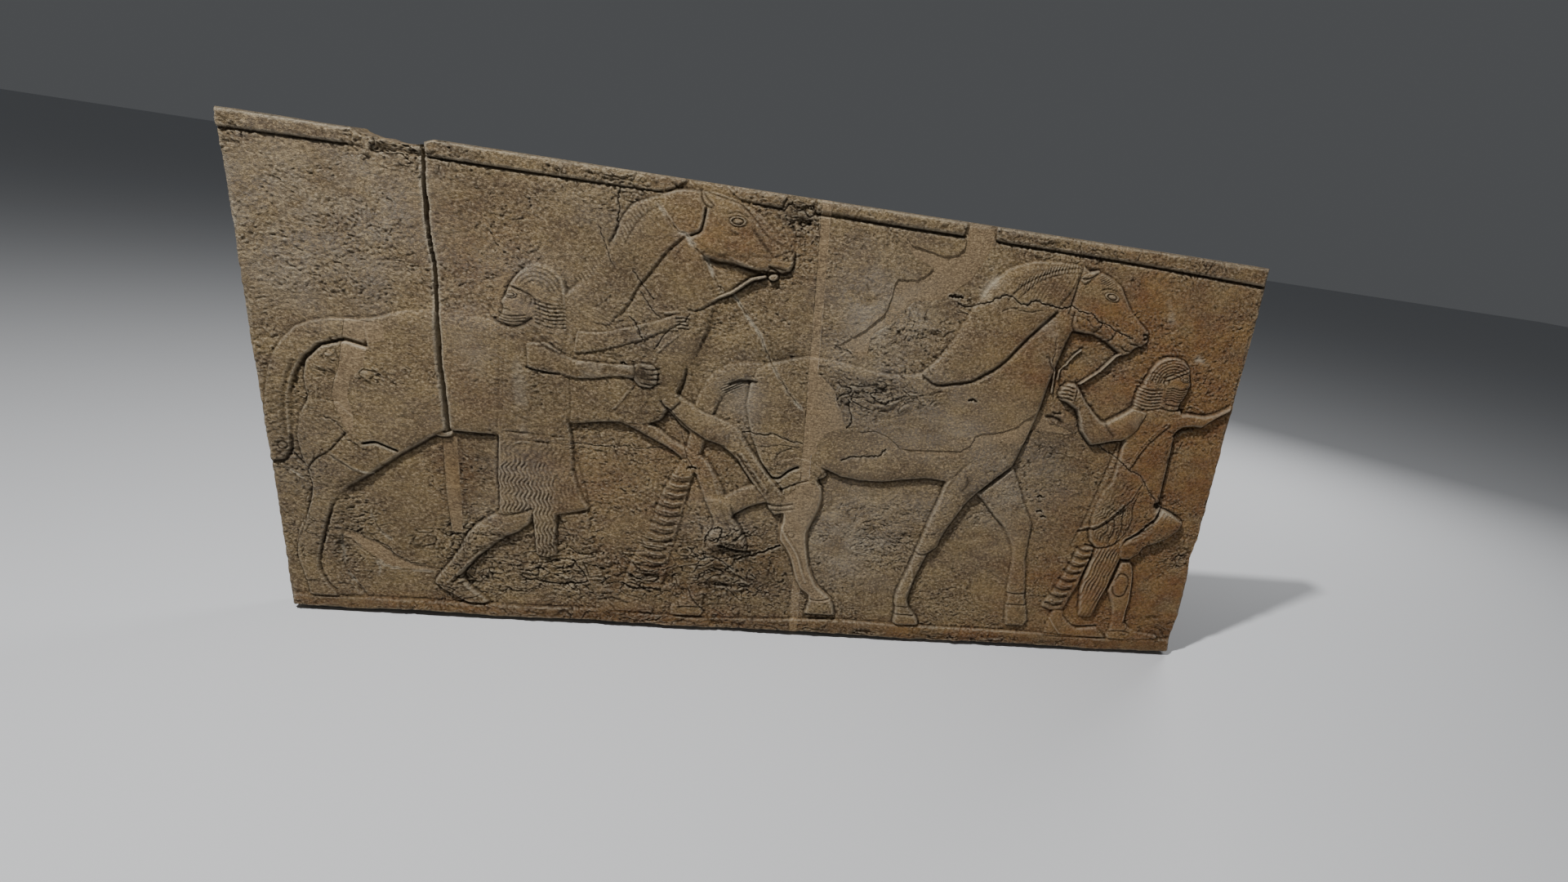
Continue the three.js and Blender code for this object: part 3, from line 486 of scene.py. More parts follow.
cut([(938, 700), (950, 640), (970, 560), (984, 480)], 7, 2.5, 0.5)
cut([(702, 700), (694, 640), (690, 560), (694, 470)], 8, 3.5, 0.7)
cut([(818, 1092), (850, 1060), (890, 1030), (924, 1006)], 8, 2.5, 0.5)

# Right groom's cut detail
# Shawl and robe with fringes, headband, hair in fine strokes and rows, bare arms, calf and sandalled feet.
swell([(2860, 1020), (2990, 1040), (3000, 960), (2930, 920), (2860, 960)], 3, 20)
for row in range(7):
    high = 1050 + 12 * row
    cut([(2898, high + 5), (2945, high - 4), (2992, high + 3)], 5, 4, 0.7)
rings((3026, 1150), 36, 11, 6, 50, 178, 3.2, 0.96)
rings((2952, 1150), 12, 11, 3, 60, 200, 2.6, 1.0)
cut([(2990, 1155), (3028, 1174), (3080, 1199)], 4, 3.9)
cut([(2988, 1170), (3026, 1190), (3080, 1215)], 4, 3.9)
for row in range(6):
    high = 1086 + 9 * row
    cut([(3010, high), (3036, high + 5), (3060, high), (3088, high + 6)], 5, 3.7, 0.65)
face = area([(3098, 1205), (3100, 1090), (3060, 1070), (3010, 1080), (3010, 1180), (3050, 1195)], 8)
rough *= 1 - 0.85 * face
eye(3072, 1172, 30, 14, -4)
cut([(3052, 1188), (3072, 1193), (3090, 1186)], 5, 2.4)
cut([(3080, 1141), (3090, 1140), (3099, 1142)], 4, 3.1)
rings((3002, 1152), 9, 9, 1, -20, 260, 2.5, 1.4)
cut([(3018, 1074), (3060, 1070), (3086, 1074)], 5, 3.9)
cut([(2998, 1058), (3040, 1052), (3098, 1058)], 6, 4.7)
for finger in range(4):
    cut([(2608, 1051 + 14 * finger), (2630, 1055 + 14 * finger), (2655, 1050 + 14 * finger)], 5, 5.4, 0.9)
cut([(2663, 1106), (2668, 1080), (2664, 1050)], 6, 3.9)
cut([(2582, 975), (2612, 972), (2640, 958)], 12, 7.8, 1.0)
cut([(2600, 992), (2613, 988), (2628, 992)], 8, 6.2, 0.9)
cut([(2700, 1062), (2730, 1010), (2760, 960)], 14, 2.3, 0.2)
cut([(2802, 975), (2820, 950), (2840, 935)], 9, 3.1)
cut([(2797, 892), (2838, 905), (2890, 916)], 9, 6.2, 0.9)
cut([(3044, 1003), (3003, 957), (2972, 916), (2946, 865), (2931, 824)], 10, -5.5)
cut([(3054, 992), (3014, 946), (2983, 905), (2958, 856), (2944, 820)], 7, 3.5)
cut([(2872, 900), (2850, 790), (2822, 660), (2795, 548), (2782, 505), (2770, 470)], 8, 3.5, 0.6)
swell([(2874, 890), (2854, 790), (2828, 660), (2802, 560), (2850, 560), (2880, 620), (2890, 760)], 4, 8)
cut([(2950, 650), (2975, 700), (2995, 752)], 7, -3.1)
cut([(3087, 957), (3115, 980), (3160, 992)], 13, 14, 1.0)
cut([(3110, 1070), (3140, 1076), (3182, 1058)], 6, -3.1)
cut([(3079, 672), (3090, 676), (3088, 662)], 18, 18.6, 1.0)
strokes([(2940, 660), (2992, 655), (2985, 530), (2936, 540)], 10, 3.5, 8, 4, 40)
strokes([
    (2872, 470), (2940, 520), (2965, 460), (2962, 360), (2934, 220), (2922, 170), (2858, 172),
    (2846, 300),
], 14, 5.6, 15)
strokes([(2850, 640), (2935, 640), (2940, 540), (2880, 500), (2840, 560)], 13, 4.2, 30, 4, 45)
strokes([(2850, 740), (2990, 760), (2985, 680), (2850, 650)], 17, 2.4, 35, 4, 60)
cut([(2795, 545), (2855, 575), (2900, 612), (2940, 665)], 9, -6)
cut([(2790, 532), (2858, 560), (2908, 600), (2950, 655)], 7, 4)
cut([(2880, 520), (2900, 560), (2890, 590)], 6, 3)
cut([(2912, 500), (2926, 560), (2920, 600)], 6, 3)
cut([(2945, 500), (2958, 560), (2950, 620), (2964, 680)], 6, 3)
cut([(2975, 540), (2992, 600), (2984, 660), (2996, 720)], 6, 3)
cut([(2965, 490), (2978, 522), (3030, 560), (3075, 600), (3088, 650)], 10, -4.7)
cut([(2990, 505), (3040, 530), (3080, 562), (3112, 612), (3128, 642)], 9, -4.7)
cut([(2985, 520), (3030, 545), (3072, 580), (3100, 630)], 7, 6.2, 0.9)
cut([(2830, 478), (2880, 474), (2930, 490), (2958, 515)], 7, 5.4, 0.85)
cut([(2966, 470), (2985, 478), (3010, 476), (3030, 492)], 9, -3.9)
for row in range(8):
    high = 458 - 35 * row + chance.uniform(-4, 4)
    lean = (440 - high) * 0.36
    cut([(2796 - lean, high + 5), (2828 - lean, high - 5), (2858 - lean, high + 3)], 12, 6.2, 0.8)
cut([(2978, 310), (2986, 282), (3010, 268), (3034, 280), (3042, 318)], 7, 4.7)
cut([(2984, 340), (3000, 370), (3030, 360), (3042, 330)], 7, 3.9)
cut([(3050, 380), (3058, 300), (3060, 220), (3056, 160)], 6, -3.9)
cut([(2746, 145), (2770, 112), (2797, 80)], 6, -3.9)
cut([(2800, 160), (2830, 132), (2862, 114), (2950, 120)], 6, 4.7)
cut([(2862, 108), (2905, 114), (2952, 122)], 5, 4.7, 0.8)
cut([(3010, 105), (3050, 112), (3095, 104)], 6, 3.1)

# Border lines
# The top band's lower edge is undercut by a narrow shadow line, and the standing ledge has one too.
for points, width in (
    ([(0, 1545), (50, 1549), (335, 1552)], 6),
    ([(537, 1549), (800, 1549), (1000, 1549), (1215, 1550)], 6),
    ([(1492, 1556), (1540, 1555), (1579, 1554)], 6),
    ([(1687, 1554), (1759, 1558), (1964, 1554), (2179, 1553)], 10),
    ([(2295, 1552), (2500, 1550), (2700, 1549), (2900, 1545), (3100, 1539), (3290, 1533)], 10),
):
    cut(points, width, width * 0.8, 1.0)
cut([(2731, 68), (2860, 66), (3000, 68)], 5, 3)
cut([(1687, 1560), (1684, 1580), (1688, 1600)], 4, 2)
cut([(1120, 1560), (1132, 1578), (1140, 1598)], 4, 2)

# Plaster repairs
# Lost stone made good in smooth plaster, a little below the stone around it. Outlines as in the frame,
# roughened into a broken edge.
fill_lines = {
    "left_joint_fill": [(526, 690), (572, 690), (570, 520), (566, 335), (530, 340), (526, 500)],
    "left_fill": [
        (277, 1044), (390, 1040), (388, 985), (340, 975), (322, 900), (277, 849), (267, 793), (277, 700),
        (262, 668), (241, 700), (220, 793), (231, 849), (250, 890), (262, 960)],
    "heel_fill": [
        (150, 322), (195, 318), (231, 309), (256, 293), (325, 262), (335, 240), (390, 206), (436, 201),
        (470, 198), (462, 178), (400, 178), (349, 182), (308, 193), (282, 216), (246, 247), (205, 288),
        (150, 306)],
    "upper_fill": [
        (2195, 1599), (2179, 1559), (2192, 1544), (2185, 1513), (2169, 1495), (2123, 1482), (2082, 1490),
        (2010, 1503), (1990, 1523), (2000, 1492), (2023, 1467), (2092, 1441), (2067, 1410), (2041, 1395),
        (1979, 1387), (1967, 1369), (1964, 1333), (1944, 1267), (1913, 1236), (1887, 1210), (1851, 1182),
        (1792, 1138), (1831, 1132), (1877, 1102), (1897, 1123), (1908, 1190), (1954, 1226), (1979, 1246),
        (2015, 1297), (2046, 1323), (2103, 1333), (2150, 1350), (2190, 1390), (2224, 1418), (2268, 1497),
        (2286, 1552), (2282, 1599)],
    "middle_fill": [
        (2051, 800), (2177, 808), (2274, 816), (2305, 844), (2321, 880), (2408, 903), (2459, 924),
        (2490, 952), (2536, 990), (2562, 990), (2592, 952), (2633, 947), (2700, 926), (2660, 915),
        (2541, 918), (2523, 911), (2510, 877), (2500, 865), (2408, 862), (2377, 854), (2295, 806),
        (2249, 783), (2223, 790), (2118, 790)],
    "leg_fill": [
        (1733, 644), (1759, 639), (1779, 626), (1796, 603), (1800, 567), (1788, 522), (1758, 466),
        (1752, 427), (1754, 386), (1758, 345), (1768, 304), (1786, 252), (1808, 218), (1840, 190),
        (1862, 172), (1866, 160), (1766, 155), (1760, 178), (1726, 210), (1708, 250), (1702, 298),
        (1686, 335), (1660, 372), (1640, 396), (1637, 463), (1646, 493), (1645, 560), (1680, 606)],
}
fill_sink = {
    "left_joint_fill": 2.0, "left_fill": 2.0, "heel_fill": 4.5,
    "upper_fill": 4.5, "middle_fill": 4.0, "leg_fill": 1.0,
}
lobe_line = [
    (1716, 1050), (1759, 1029), (1800, 988), (1810, 947), (1831, 911), (1851, 854), (1800, 839),
    (1774, 818), (1759, 793), (1754, 752), (1716, 740)]
strip_left = 1706.0
strip_right = 1738.0


def broken(points, jitter):
    """A closed outline with two points added on each side, each nudged by chance."""
    path = np.array(points, float)
    after = np.roll(path, -1, axis=0)
    cuts = np.stack([path, path + (after - path) / 3, path + (after - path) * 2 / 3], axis=1)
    return cuts.reshape(-1, 2) + chance.uniform(-jitter, jitter, (3 * len(path), 2))


fill_outlines = {}
for name, line in fill_lines.items():
    fill_outlines[name] = broken(line, 0.6 if name == "leg_fill" else 2.0)
lobe_outline = broken(lobe_line, 1.5)
strip_foot = 690.0
plaster = inside(lobe_outline) + ((U > strip_left) & (U < strip_right) & (V > strip_foot))
for outline in fill_outlines.values():
    plaster += inside(outline)
plaster = np.clip(plaster, 0, 1)
smooth_relief = relief.copy()

# Weathering of the stone
# Fine pits and short gouges all over, broad waves, cracks and chips, and crumbled zones where the skin of
# the stone has come off in flakes.
def smoothstep(low, high, value):
    """Rises from 0 at low to 1 at high along 3t squared minus 2t cubed."""
    t = np.clip((value - low) / (high - low), 0, 1)
    return t * t * (3 - 2 * t)


def slanted(long, short, lean, push=0.0):
    """Random values from -1 to 1 on cells turned by an angle in degrees, their rows pushed by a wave.

    Between four neighbouring values the joins follow 3t squared minus 2t cubed. The values repeat after
    so many cells each way, which is further than the sheet reaches.
    """
    repeat = 311
    angle = math.radians(lean)
    x = (U * math.cos(angle) + V * math.sin(angle) + push * noise(110, 80)) / long
    y = (V * math.cos(angle) - U * math.sin(angle) + push * noise(110, 80)) / short
    i, j = np.floor(x).astype(int), np.floor(y).astype(int)
    s, t = x - i, y - j
    s, t = s * s * (3 - 2 * s), t * t * (3 - 2 * t)
    table = chance.uniform(-1, 1, (repeat, repeat))
    left, right = i % repeat, (i + 1) % repeat
    under, over = j % repeat, (j + 1) % repeat
    low = table[under, left] * (1 - s) + table[under, right] * s
    high = table[over, left] * (1 - s) + table[over, right] * s
    return low * (1 - t) + high * t


worn_zones = [
    (900, 34, 900, 26, 0.55), (2400, 32, 900, 24, 0.5), (900, 1576, 500, 20, 0.5),
    (2600, 1576, 650, 20, 0.4), (610, 345, 120, 70, 0.7), (900, 190, 260, 90, 0.85),
    (1130, 225, 150, 100, 1.0), (1450, 235, 170, 150, 1.0), (620, 150, 120, 60, 0.5),
    (1655, 1530, 60, 50, 0.9), (1920, 985, 190, 70, 0.9), (3245, 470, 45, 80, 0.9),
    (3235, 140, 70, 60, 1.0), (1180, 230, 60, 200, 0.6), (2940, 640, 90, 180, 0.5),
    (440, 290, 110, 70, 0.5), (950, 300, 70, 90, 0.8), (150, 300, 120, 120, 0.5),
    (1480, 400, 90, 70, 0.8), (2000, 470, 230, 120, 0.5), (2620, 800, 120, 150, 0.4),
    (2080, 1230, 120, 80, 0.4), (440, 1552, 100, 45, 0.9), (215, 930, 40, 70, 0.9),
    (340, 870, 50, 50, 0.7),
]
worn = np.clip(blobs(worn_zones, 9.0) * (1 + 0.6 * noise(60, 40)), 0, 1)
pitted = smoothstep(-0.5, 0.9, noise(190, 130) + 0.6 * noise(70, 55) + 0.25)
gouges = np.zeros((rows, columns))
for lean, long, short in ((4, 22, 7), (-32, 18, 7), (34, 18, 8), (70, 14, 8)):
    stroke = slanted(long, short, lean, 45) * 0.75 + slanted(long * 0.5, short * 0.8, lean, 20) * 0.45
    zone = smoothstep(-0.4, 0.6, noise(140, 110))
    gouges = np.maximum(gouges, smoothstep(0.28, 0.95, stroke) * (0.35 + 0.65 * zone))
grains = slanted(9, 6, 10, 20) + 0.8 * slanted(6.5, 5.5, -25, 20)
flakes = slanted(80, 34, 8, 60) + 0.5 * slanted(32, 15, -6, 40)
steps = np.floor(flakes * 2.5) + smoothstep(0.0, 0.3, flakes * 2.5 % 1)
waves = noise(160, 120) + 0.6 * noise(70, 52) + 0.35 * slanted(34, 24, 20, 30)
on_carving = smoothstep(2, 12, smooth_relief)
calm = rough * (1 - 0.3 * on_carving) * (0.45 + 0.55 * pitted)
weather = calm * (2.1 * grains - 4.8 * gouges) + 1.1 * waves * (1 - 0.4 * on_carving)
clefts = smoothstep(0.16, 0.02, np.abs(slanted(75, 24, 7, 70) + 0.35 * slanted(26, 14, -8, 30)))
weather += worn * (2.6 * steps - 3.0 * gouges - 5.0 * clefts - 1.5)
relief += np.where(plaster > 0.5, 0, weather)
# Painted shade in the gouges and clefts, kept off the plaster.
pit_shade = np.clip(0.95 * gouges * calm + worn * (0.6 * gouges + 0.8 * clefts), 0, 1)
dirt_and_painted_shade = np.maximum(dirt_and_painted_shade, pit_shade * (1 - plaster))


def crack(points, width, depth, groove_shade=1.0, pale=0.0):
    """A ragged crack: a smooth line pushed about by chance, now wider, now narrower, with painted shade
    inside and pale lips, which are broken stone on some cracks and painted highlights on the lit edges of
    others.
    """
    wander = 3.0
    path = curve(points, 5)
    path[1:-1] += chance.uniform(-wander, wander, (len(path) - 2, 2))
    up, over, apart, along = near_line(path, width * 2)
    beat = np.interp(along, np.linspace(0, along.max() + 1, 24), chance.uniform(0.45, 1.25, 24))
    shape = smoothstep(1.0, 0.35, apart / (0.5 * width * beat + 0.5))
    relief[up, over] -= depth * shape
    dirt_and_painted_shade[up, over] = np.maximum(dirt_and_painted_shade[up, over], groove_shade * shape)
    patchy = smoothstep(-0.6, 0.3, noise(34, 34)[up, over])
    pale_wear_and_highlight[up, over] = np.maximum(pale_wear_and_highlight[up, over], pale * patchy * smoothstep(0.95, 0.3, apart / width))


def chip(points, depth, pale):
    """A place where the skin of the stone has come off, leaving a paler hollow."""
    mask = area(points, 3)
    relief[:] -= depth * mask
    pale_wear_and_highlight[:] = np.maximum(pale_wear_and_highlight, pale * mask * smoothstep(-0.5, 0.5, noise(30, 24) + 0.5 * noise(12, 10)))


crack([
    (1208, 1518), (1233, 1482), (1259, 1451), (1295, 1431), (1320, 1400), (1351, 1372), (1387, 1303),
    (1408, 1272),
], 8, 3, 0.25, 1.0)
crack([
    (1441, 1267), (1467, 1236), (1497, 1195), (1533, 1149), (1559, 1092), (1590, 1039), (1626, 988),
    (1667, 936), (1690, 911),
], 7, 4, 0.35, 0.9)
crack([(1092, 1544), (1085, 1513), (1087, 1482), (1082, 1451), (1085, 1426), (1069, 1390)], 7, 4)
crack([(1026, 1426), (1038, 1395), (1051, 1359), (1077, 1308)], 4, 3)
crack([(1133, 1303), (1162, 1262), (1197, 1221)], 5, 3.5)
crack([(1123, 1156), (1141, 1138), (1151, 1113), (1164, 1087)], 6, 4)
crack([(1156, 1241), (1177, 1210), (1197, 1180), (1221, 1164)], 5, 3)
crack([(931, 703), (1000, 702), (1069, 703), (1110, 711), (1141, 703), (1187, 711), (1228, 716)], 4, 3.5)
crack([(560, 703), (620, 700), (690, 702)], 4, 3)
crack([(1495, 801), (1569, 803), (1605, 808), (1656, 793), (1703, 783)], 6, 4)
crack([(1508, 754), (1574, 760), (1626, 770), (1697, 767)], 4, 2.5, 0.3)
crack([(1487, 301), (1554, 329), (1600, 352), (1651, 375)], 7, 5)
crack([(1433, 362), (1467, 350), (1503, 339), (1542, 340)], 18, 9)
crack([(1485, 302), (1520, 316), (1558, 328), (1600, 350), (1650, 376)], 9, 7)
crack([(1380, 372), (1396, 412), (1424, 437), (1442, 425), (1428, 384)], 8, 6, 0.9)
crack([(1323, 342), (1362, 305), (1400, 312), (1446, 296), (1486, 259)], 8, 5, 0.6, 0.5)
crack([(800, 170), (860, 160), (930, 168), (975, 180)], 11, 6, 0.9)
crack([(1110, 172), (1150, 160), (1190, 168), (1225, 164)], 15, 6, 0.9)
crack([(1120, 215), (1150, 206), (1180, 212)], 10, 5, 0.9)
crack([(925, 262), (950, 225), (968, 196)], 8, 5, 0.8)
crack([(800, 236), (850, 250), (905, 262), (940, 250)], 8, 4, 0.6)
crack([(285, 381), (297, 334), (321, 304), (338, 293)], 5, 3, 0.3, 0.5)
# Painted shadow and highlight: this dark crack follows the heel fill's upper edge, and the pale lips of the
# next one its lower edge.
crack([
    (150, 324), (195, 320), (233, 311), (260, 293), (327, 264), (337, 242), (392, 208), (438, 203),
], 5, 3, 0.7)
crack([
    (205, 286), (246, 245), (282, 214), (308, 191), (349, 180), (400, 176), (462, 176),
], 5, 2, 0.3, 0.6)
# Its pale lips are a painted highlight on the lit front edge of the far hind leg and hoof.
crack([(183, 300), (183, 233), (184, 172), (211, 122), (236, 78)], 5, 1.5, 0.2, 0.7)
crack([(286, 205), (290, 180), (284, 150)], 4, 1.5, 0.2, 0.7)
# Its pale lips are a painted highlight on the lit upper edge of the lower fragment.
crack([(195, 588), (232, 560), (268, 545), (305, 534)], 5, 2, 0.3, 0.8)
crack([(10, 520), (50, 522), (90, 496)], 5, 2, 0.3, 0.8)
crack([(190, 721), (226, 706), (241, 680), (246, 654), (277, 634)], 5, 3, 0.4)
crack([
    (2797, 888), (2828, 870), (2885, 842), (2915, 821), (2936, 803), (2977, 793), (2997, 772),
    (3013, 752),
], 6, 4)
crack([(3013, 752), (3054, 711), (3079, 680), (3100, 665), (3141, 649), (3182, 624), (3208, 613)], 5, 3.5)
crack([
    (2192, 1336), (2218, 1328), (2254, 1338), (2295, 1354), (2321, 1369), (2346, 1385), (2372, 1382),
    (2403, 1364), (2428, 1364), (2454, 1379), (2495, 1374), (2521, 1372),
], 7, 5)
crack([
    (2521, 1372), (2556, 1367), (2597, 1379), (2623, 1364), (2669, 1359), (2700, 1336), (2731, 1331),
    (2767, 1315), (2808, 1303), (2838, 1294),
], 6, 5)
crack([(2346, 1330), (2380, 1345), (2430, 1338), (2490, 1350)], 5, 2.5, 0.3)
crack([(2587, 1349), (2644, 1344), (2690, 1315), (2720, 1328), (2762, 1292), (2736, 1274)], 5, 3, 0.3)
crack([(1846, 736), (1887, 754), (1944, 762), (1979, 767), (2000, 793)], 8, 5)
crack([(1897, 849), (1959, 854), (2010, 834), (2051, 800)], 5, 3, 0.5)
crack([(1851, 854), (1870, 880), (1860, 920), (1850, 960)], 7, 4)
crack([(1290, 780), (1310, 700), (1331, 654)], 5, 3, 0.6)
crack([(1310, 1190), (1290, 1160), (1240, 1120), (1200, 1060)], 5, 3, 0.8)
crack([(2555, 1265), (2560, 1220), (2556, 1180)], 4, 2.5, 0.6)
for right, up, size in (
    (2610, 660, 9), (2620, 600, 10), (2637, 580, 9), (2290, 1005, 13), (1331, 654, 12), (1105, 1000, 7),
):
    crack([(right - size, up), (right, up + size * 0.4), (right + size, up - 1)], size, 7)
crack([(2160, 1355), (2180, 1357), (2203, 1355)], 13, 9)
chip([
    (3098, 1240), (3108, 1266), (3122, 1252), (3140, 1248), (3170, 1236), (3136, 1238), (3114, 1242),
], 3, 0.85)
chip([(2262, 1370), (2285, 1460), (2316, 1450), (2306, 1375)], 0.5, 0.4)
chip([(2941, 1450), (2975, 1405), (3018, 1345), (2990, 1345), (2950, 1390)], 0.3, 0.3)
chip([(0, 1275), (20, 1280), (18, 1305), (0, 1302)], 3, 0.9)
chip([(2490, 1310), (2545, 1318), (2550, 1250), (2500, 1240)], 0.5, 0.25)
chip([(1240, 1420), (1290, 1440), (1330, 1400), (1300, 1385)], 0.8, 0.35)
chip([(760, 960), (800, 940), (800, 730), (770, 760)], 0.5, 0.25)
chip([(3060, 640), (3110, 660), (3180, 632), (3140, 625)], 0.5, 0.3)

# Broken borders and the open joint
# The arrises are chipped back in bites; the upper part of the left joint stands open and deep.
left_joint = [
    (545, -20), (546, 330), (549, 700), (546, 850), (541, 926), (543, 1030), (541, 1138), (544, 1220),
    (538, 1292), (533, 1344), (533, 1420), (531, 1472), (536, 1523), (531, 1620)]
joint_path = curve(left_joint, 5)
up, over, apart, along = near_line(joint_path, 30)
opening = 5.5 + 1.5 * noise(200, 45)[up, over] + 2.0 * smoothstep(40, 0, np.abs(V[up, over] - 1420))
open_part = (V[up, over] > 700).astype(float)
gape = smoothstep(1.0, 0.7, apart / opening) * open_part
crumb = smoothstep(3.2, 0.8, apart / opening) * open_part
crumbled = 2.5 * crumb * (1 + noise(30, 22)[up, over])
relief[up, over] = relief[up, over] * (1 - gape) - 45.0 * gape - crumbled
# Painted shade: the open joint is painted dark as well as cut deep.
dirt_and_painted_shade[up, over] = np.maximum(dirt_and_painted_shade[up, over], gape)
from_side = np.minimum(np.minimum(U, sheet_width - U), np.minimum(V - 10, sheet_height - V))
bite = smoothstep(13, 0, from_side + 6 * noise(60, 60) + 5 * noise(18, 18))
relief -= 5 * bite
pale_wear_and_highlight = np.maximum(pale_wear_and_highlight, 0.3 * bite)

# Colour zones
# Grey-brown stone on the left, greyer in the middle of the right slab, ochre to orange at the right end
# and along the bottom, as weighted soft blobs.
warm = blobs([
    (3150, 350, 330, 420, 1.0), (3180, 900, 330, 500, 0.9), (3000, 1300, 420, 300, 0.65),
    (2750, 250, 300, 250, 0.6), (2780, 1380, 200, 130, 0.35), (1250, 230, 260, 110, 0.5),
    (2300, 40, 1100, 45, 0.75), (3000, 40, 600, 60, 0.6), (1300, 40, 500, 40, 0.55),
    (300, 40, 400, 35, 0.4), (1450, 1450, 220, 120, 0.5), (1000, 560, 260, 160, 0.3),
    (700, 1300, 160, 180, 0.25), (1330, 640, 140, 140, 0.3), (620, 860, 120, 120, 0.2),
    (1600, 300, 120, 90, 0.5), (2500, 1150, 200, 160, 0.3), (700, 40, 500, 30, 0.5),
    (560, 560, 60, 140, 0.4),
])
grey = blobs([
    (1930, 1240, 190, 230, 1.0), (1900, 450, 230, 230, 0.8), (1950, 930, 230, 130, 0.7),
    (2420, 620, 170, 250, 0.5), (2620, 760, 180, 200, 0.55), (250, 1330, 330, 280, 0.9),
    (90, 480, 160, 260, 0.4), (2230, 900, 200, 180, 0.5), (820, 1200, 170, 130, 0.6),
    (780, 600, 140, 140, 0.5), (1180, 1120, 130, 90, 0.5), (1480, 900, 90, 140, 0.7),
    (1030, 1480, 130, 90, 0.6), (640, 1000, 90, 160, 0.35), (1420, 470, 130, 90, 0.6),
    (420, 760, 160, 90, 0.4), (2880, 1150, 120, 110, 0.4), (640, 400, 90, 90, 0.4),
    (2200, 600, 120, 90, 0.5),
])
warm = np.clip(warm * (1 + 0.5 * noise(120, 80) + 0.3 * noise(40, 30)), 0, 1)
grey = np.clip(grey * (1 + 0.7 * noise(90, 60) + 0.4 * noise(30, 22)), 0, 1)
# Painted shade: darker in hollows and at the foot of steps, and a painted shadow under edges that face
# down, away from the light above.
hollow = np.clip((blurred(relief, 9) - relief) / 3.8, 0, 1)
above = blurred(np.roll(relief, -4, axis=0), 6)
hollow = np.maximum(hollow, 0.9 * smoothstep(2, 10, above - relief))
# Painted highlight: lighter on ridges and raised rims.
painted_edge_highlight = np.clip((relief - blurred(relief, 6)) / 2.2, 0, 1)
soiled = blobs([
    (1480, 258, 230, 120, 1.0), (552, 500, 34, 190, 1.6), (1100, 190, 200, 90, 0.5),
    (900, 50, 900, 26, 0.8), (2300, 40, 1000, 24, 0.7), (1190, 960, 160, 130, 0.6),
    (2000, 1000, 160, 70, 0.8), (803, 863, 110, 150, 0.5), (1080, 1380, 150, 150, 0.45),
    (1591, 1085, 90, 40, 0.9), (1620, 1549, 70, 40, 0.9), (80, 600, 100, 200, 0.45),
    (640, 1450, 110, 140, 0.45), (3218, 110, 80, 60, 0.7), (2900, 560, 200, 200, 0.3),
    (640, 600, 50, 120, 0.5), (1480, 960, 60, 50, 0.5), (2660, 870, 110, 110, 0.6),
    (1850, 930, 70, 110, 0.5), (2700, 1250, 120, 70, 0.3), (1650, 360, 90, 90, 0.4),
    (300, 280, 200, 120, 0.3),
])
soiled = np.clip(soiled * (1 + 0.5 * noise(90, 60) + 0.4 * noise(30, 22)), 0, 1)
# The dirt map takes the painted shade of the hollows and adds the soil stains.
dirt_and_painted_shade = np.clip(np.maximum(dirt_and_painted_shade, 0.9 * hollow) + 0.48 * soiled * (1 - 0.6 * plaster), 0, 1)
bleached = blobs([
    (1930, 1250, 140, 170, 0.9), (1900, 430, 210, 200, 0.7), (250, 1350, 320, 200, 0.55),
    (2480, 640, 130, 150, 0.5), (830, 1230, 120, 90, 0.45), (1470, 900, 90, 110, 0.5),
    (2220, 900, 130, 90, 0.4), (650, 1000, 70, 110, 0.4), (110, 1180, 130, 160, 0.4),
    (1420, 480, 110, 70, 0.6), (750, 480, 90, 80, 0.4), (2290, 1420, 60, 70, 0.5),
])
bleached = bleached * smoothstep(-0.7, 0.8, noise(80, 60) + 0.7 * noise(28, 20)) * (1 - 0.5 * plaster)
# The scuff map takes the painted highlights of the ridges as well as the bleached patches.
pale_wear_and_highlight = np.clip(pale_wear_and_highlight + 0.7 * painted_edge_highlight + 0.42 * bleached, 0, 1)
relief = np.minimum(relief, furthest - ground)

# The three stone slabs
# Gypsum slabs about 95 mm deep behind the ground of the carving, set side by side. Each is a closed block
# over part of the sheet, cut to its outline, thinned where it is flat, and given its zones as attributes.

# Dirt and painted shade count as the face's down to a margin behind the ground, the slabs meet with a
# hairline gap, the cutters reach beyond the panel, and the broken rim stays just inside the solids' box.
face_margin = 15.0
recess_depth = 25.0
fill_gap = 0.3
beyond = 30.0
half_gap = 0.15
right_joint = (strip_left + strip_right) / 2
rim_inset = 0.3
underside = 8.0


def linear(colour):
    """An sRGB hex colour as linear RGBA."""
    parts = [int(colour[i:i + 2], 16) / 255 for i in (1, 3, 5)]
    return tuple(c / 12.92 if c <= 0.04045 else ((c + 0.055) / 1.055) ** 2.4 for c in parts) + (1.0,)


def node(tree, kind, settings=None, **links):
    """Adds a shader node with its settings. A link or value goes to the input of that name or number."""
    made = tree.nodes.new(kind)
    for key, value in (settings or {}).items():
        setattr(made, key, value)
    for key, value in links.items():
        socket = made.inputs[int(key[1:])] if key[1:].isdigit() else made.inputs[key.replace("_", " ")]
        if isinstance(value, bpy.types.NodeSocket):
            tree.links.new(value, socket)
        else:
            socket.default_value = value
    return made


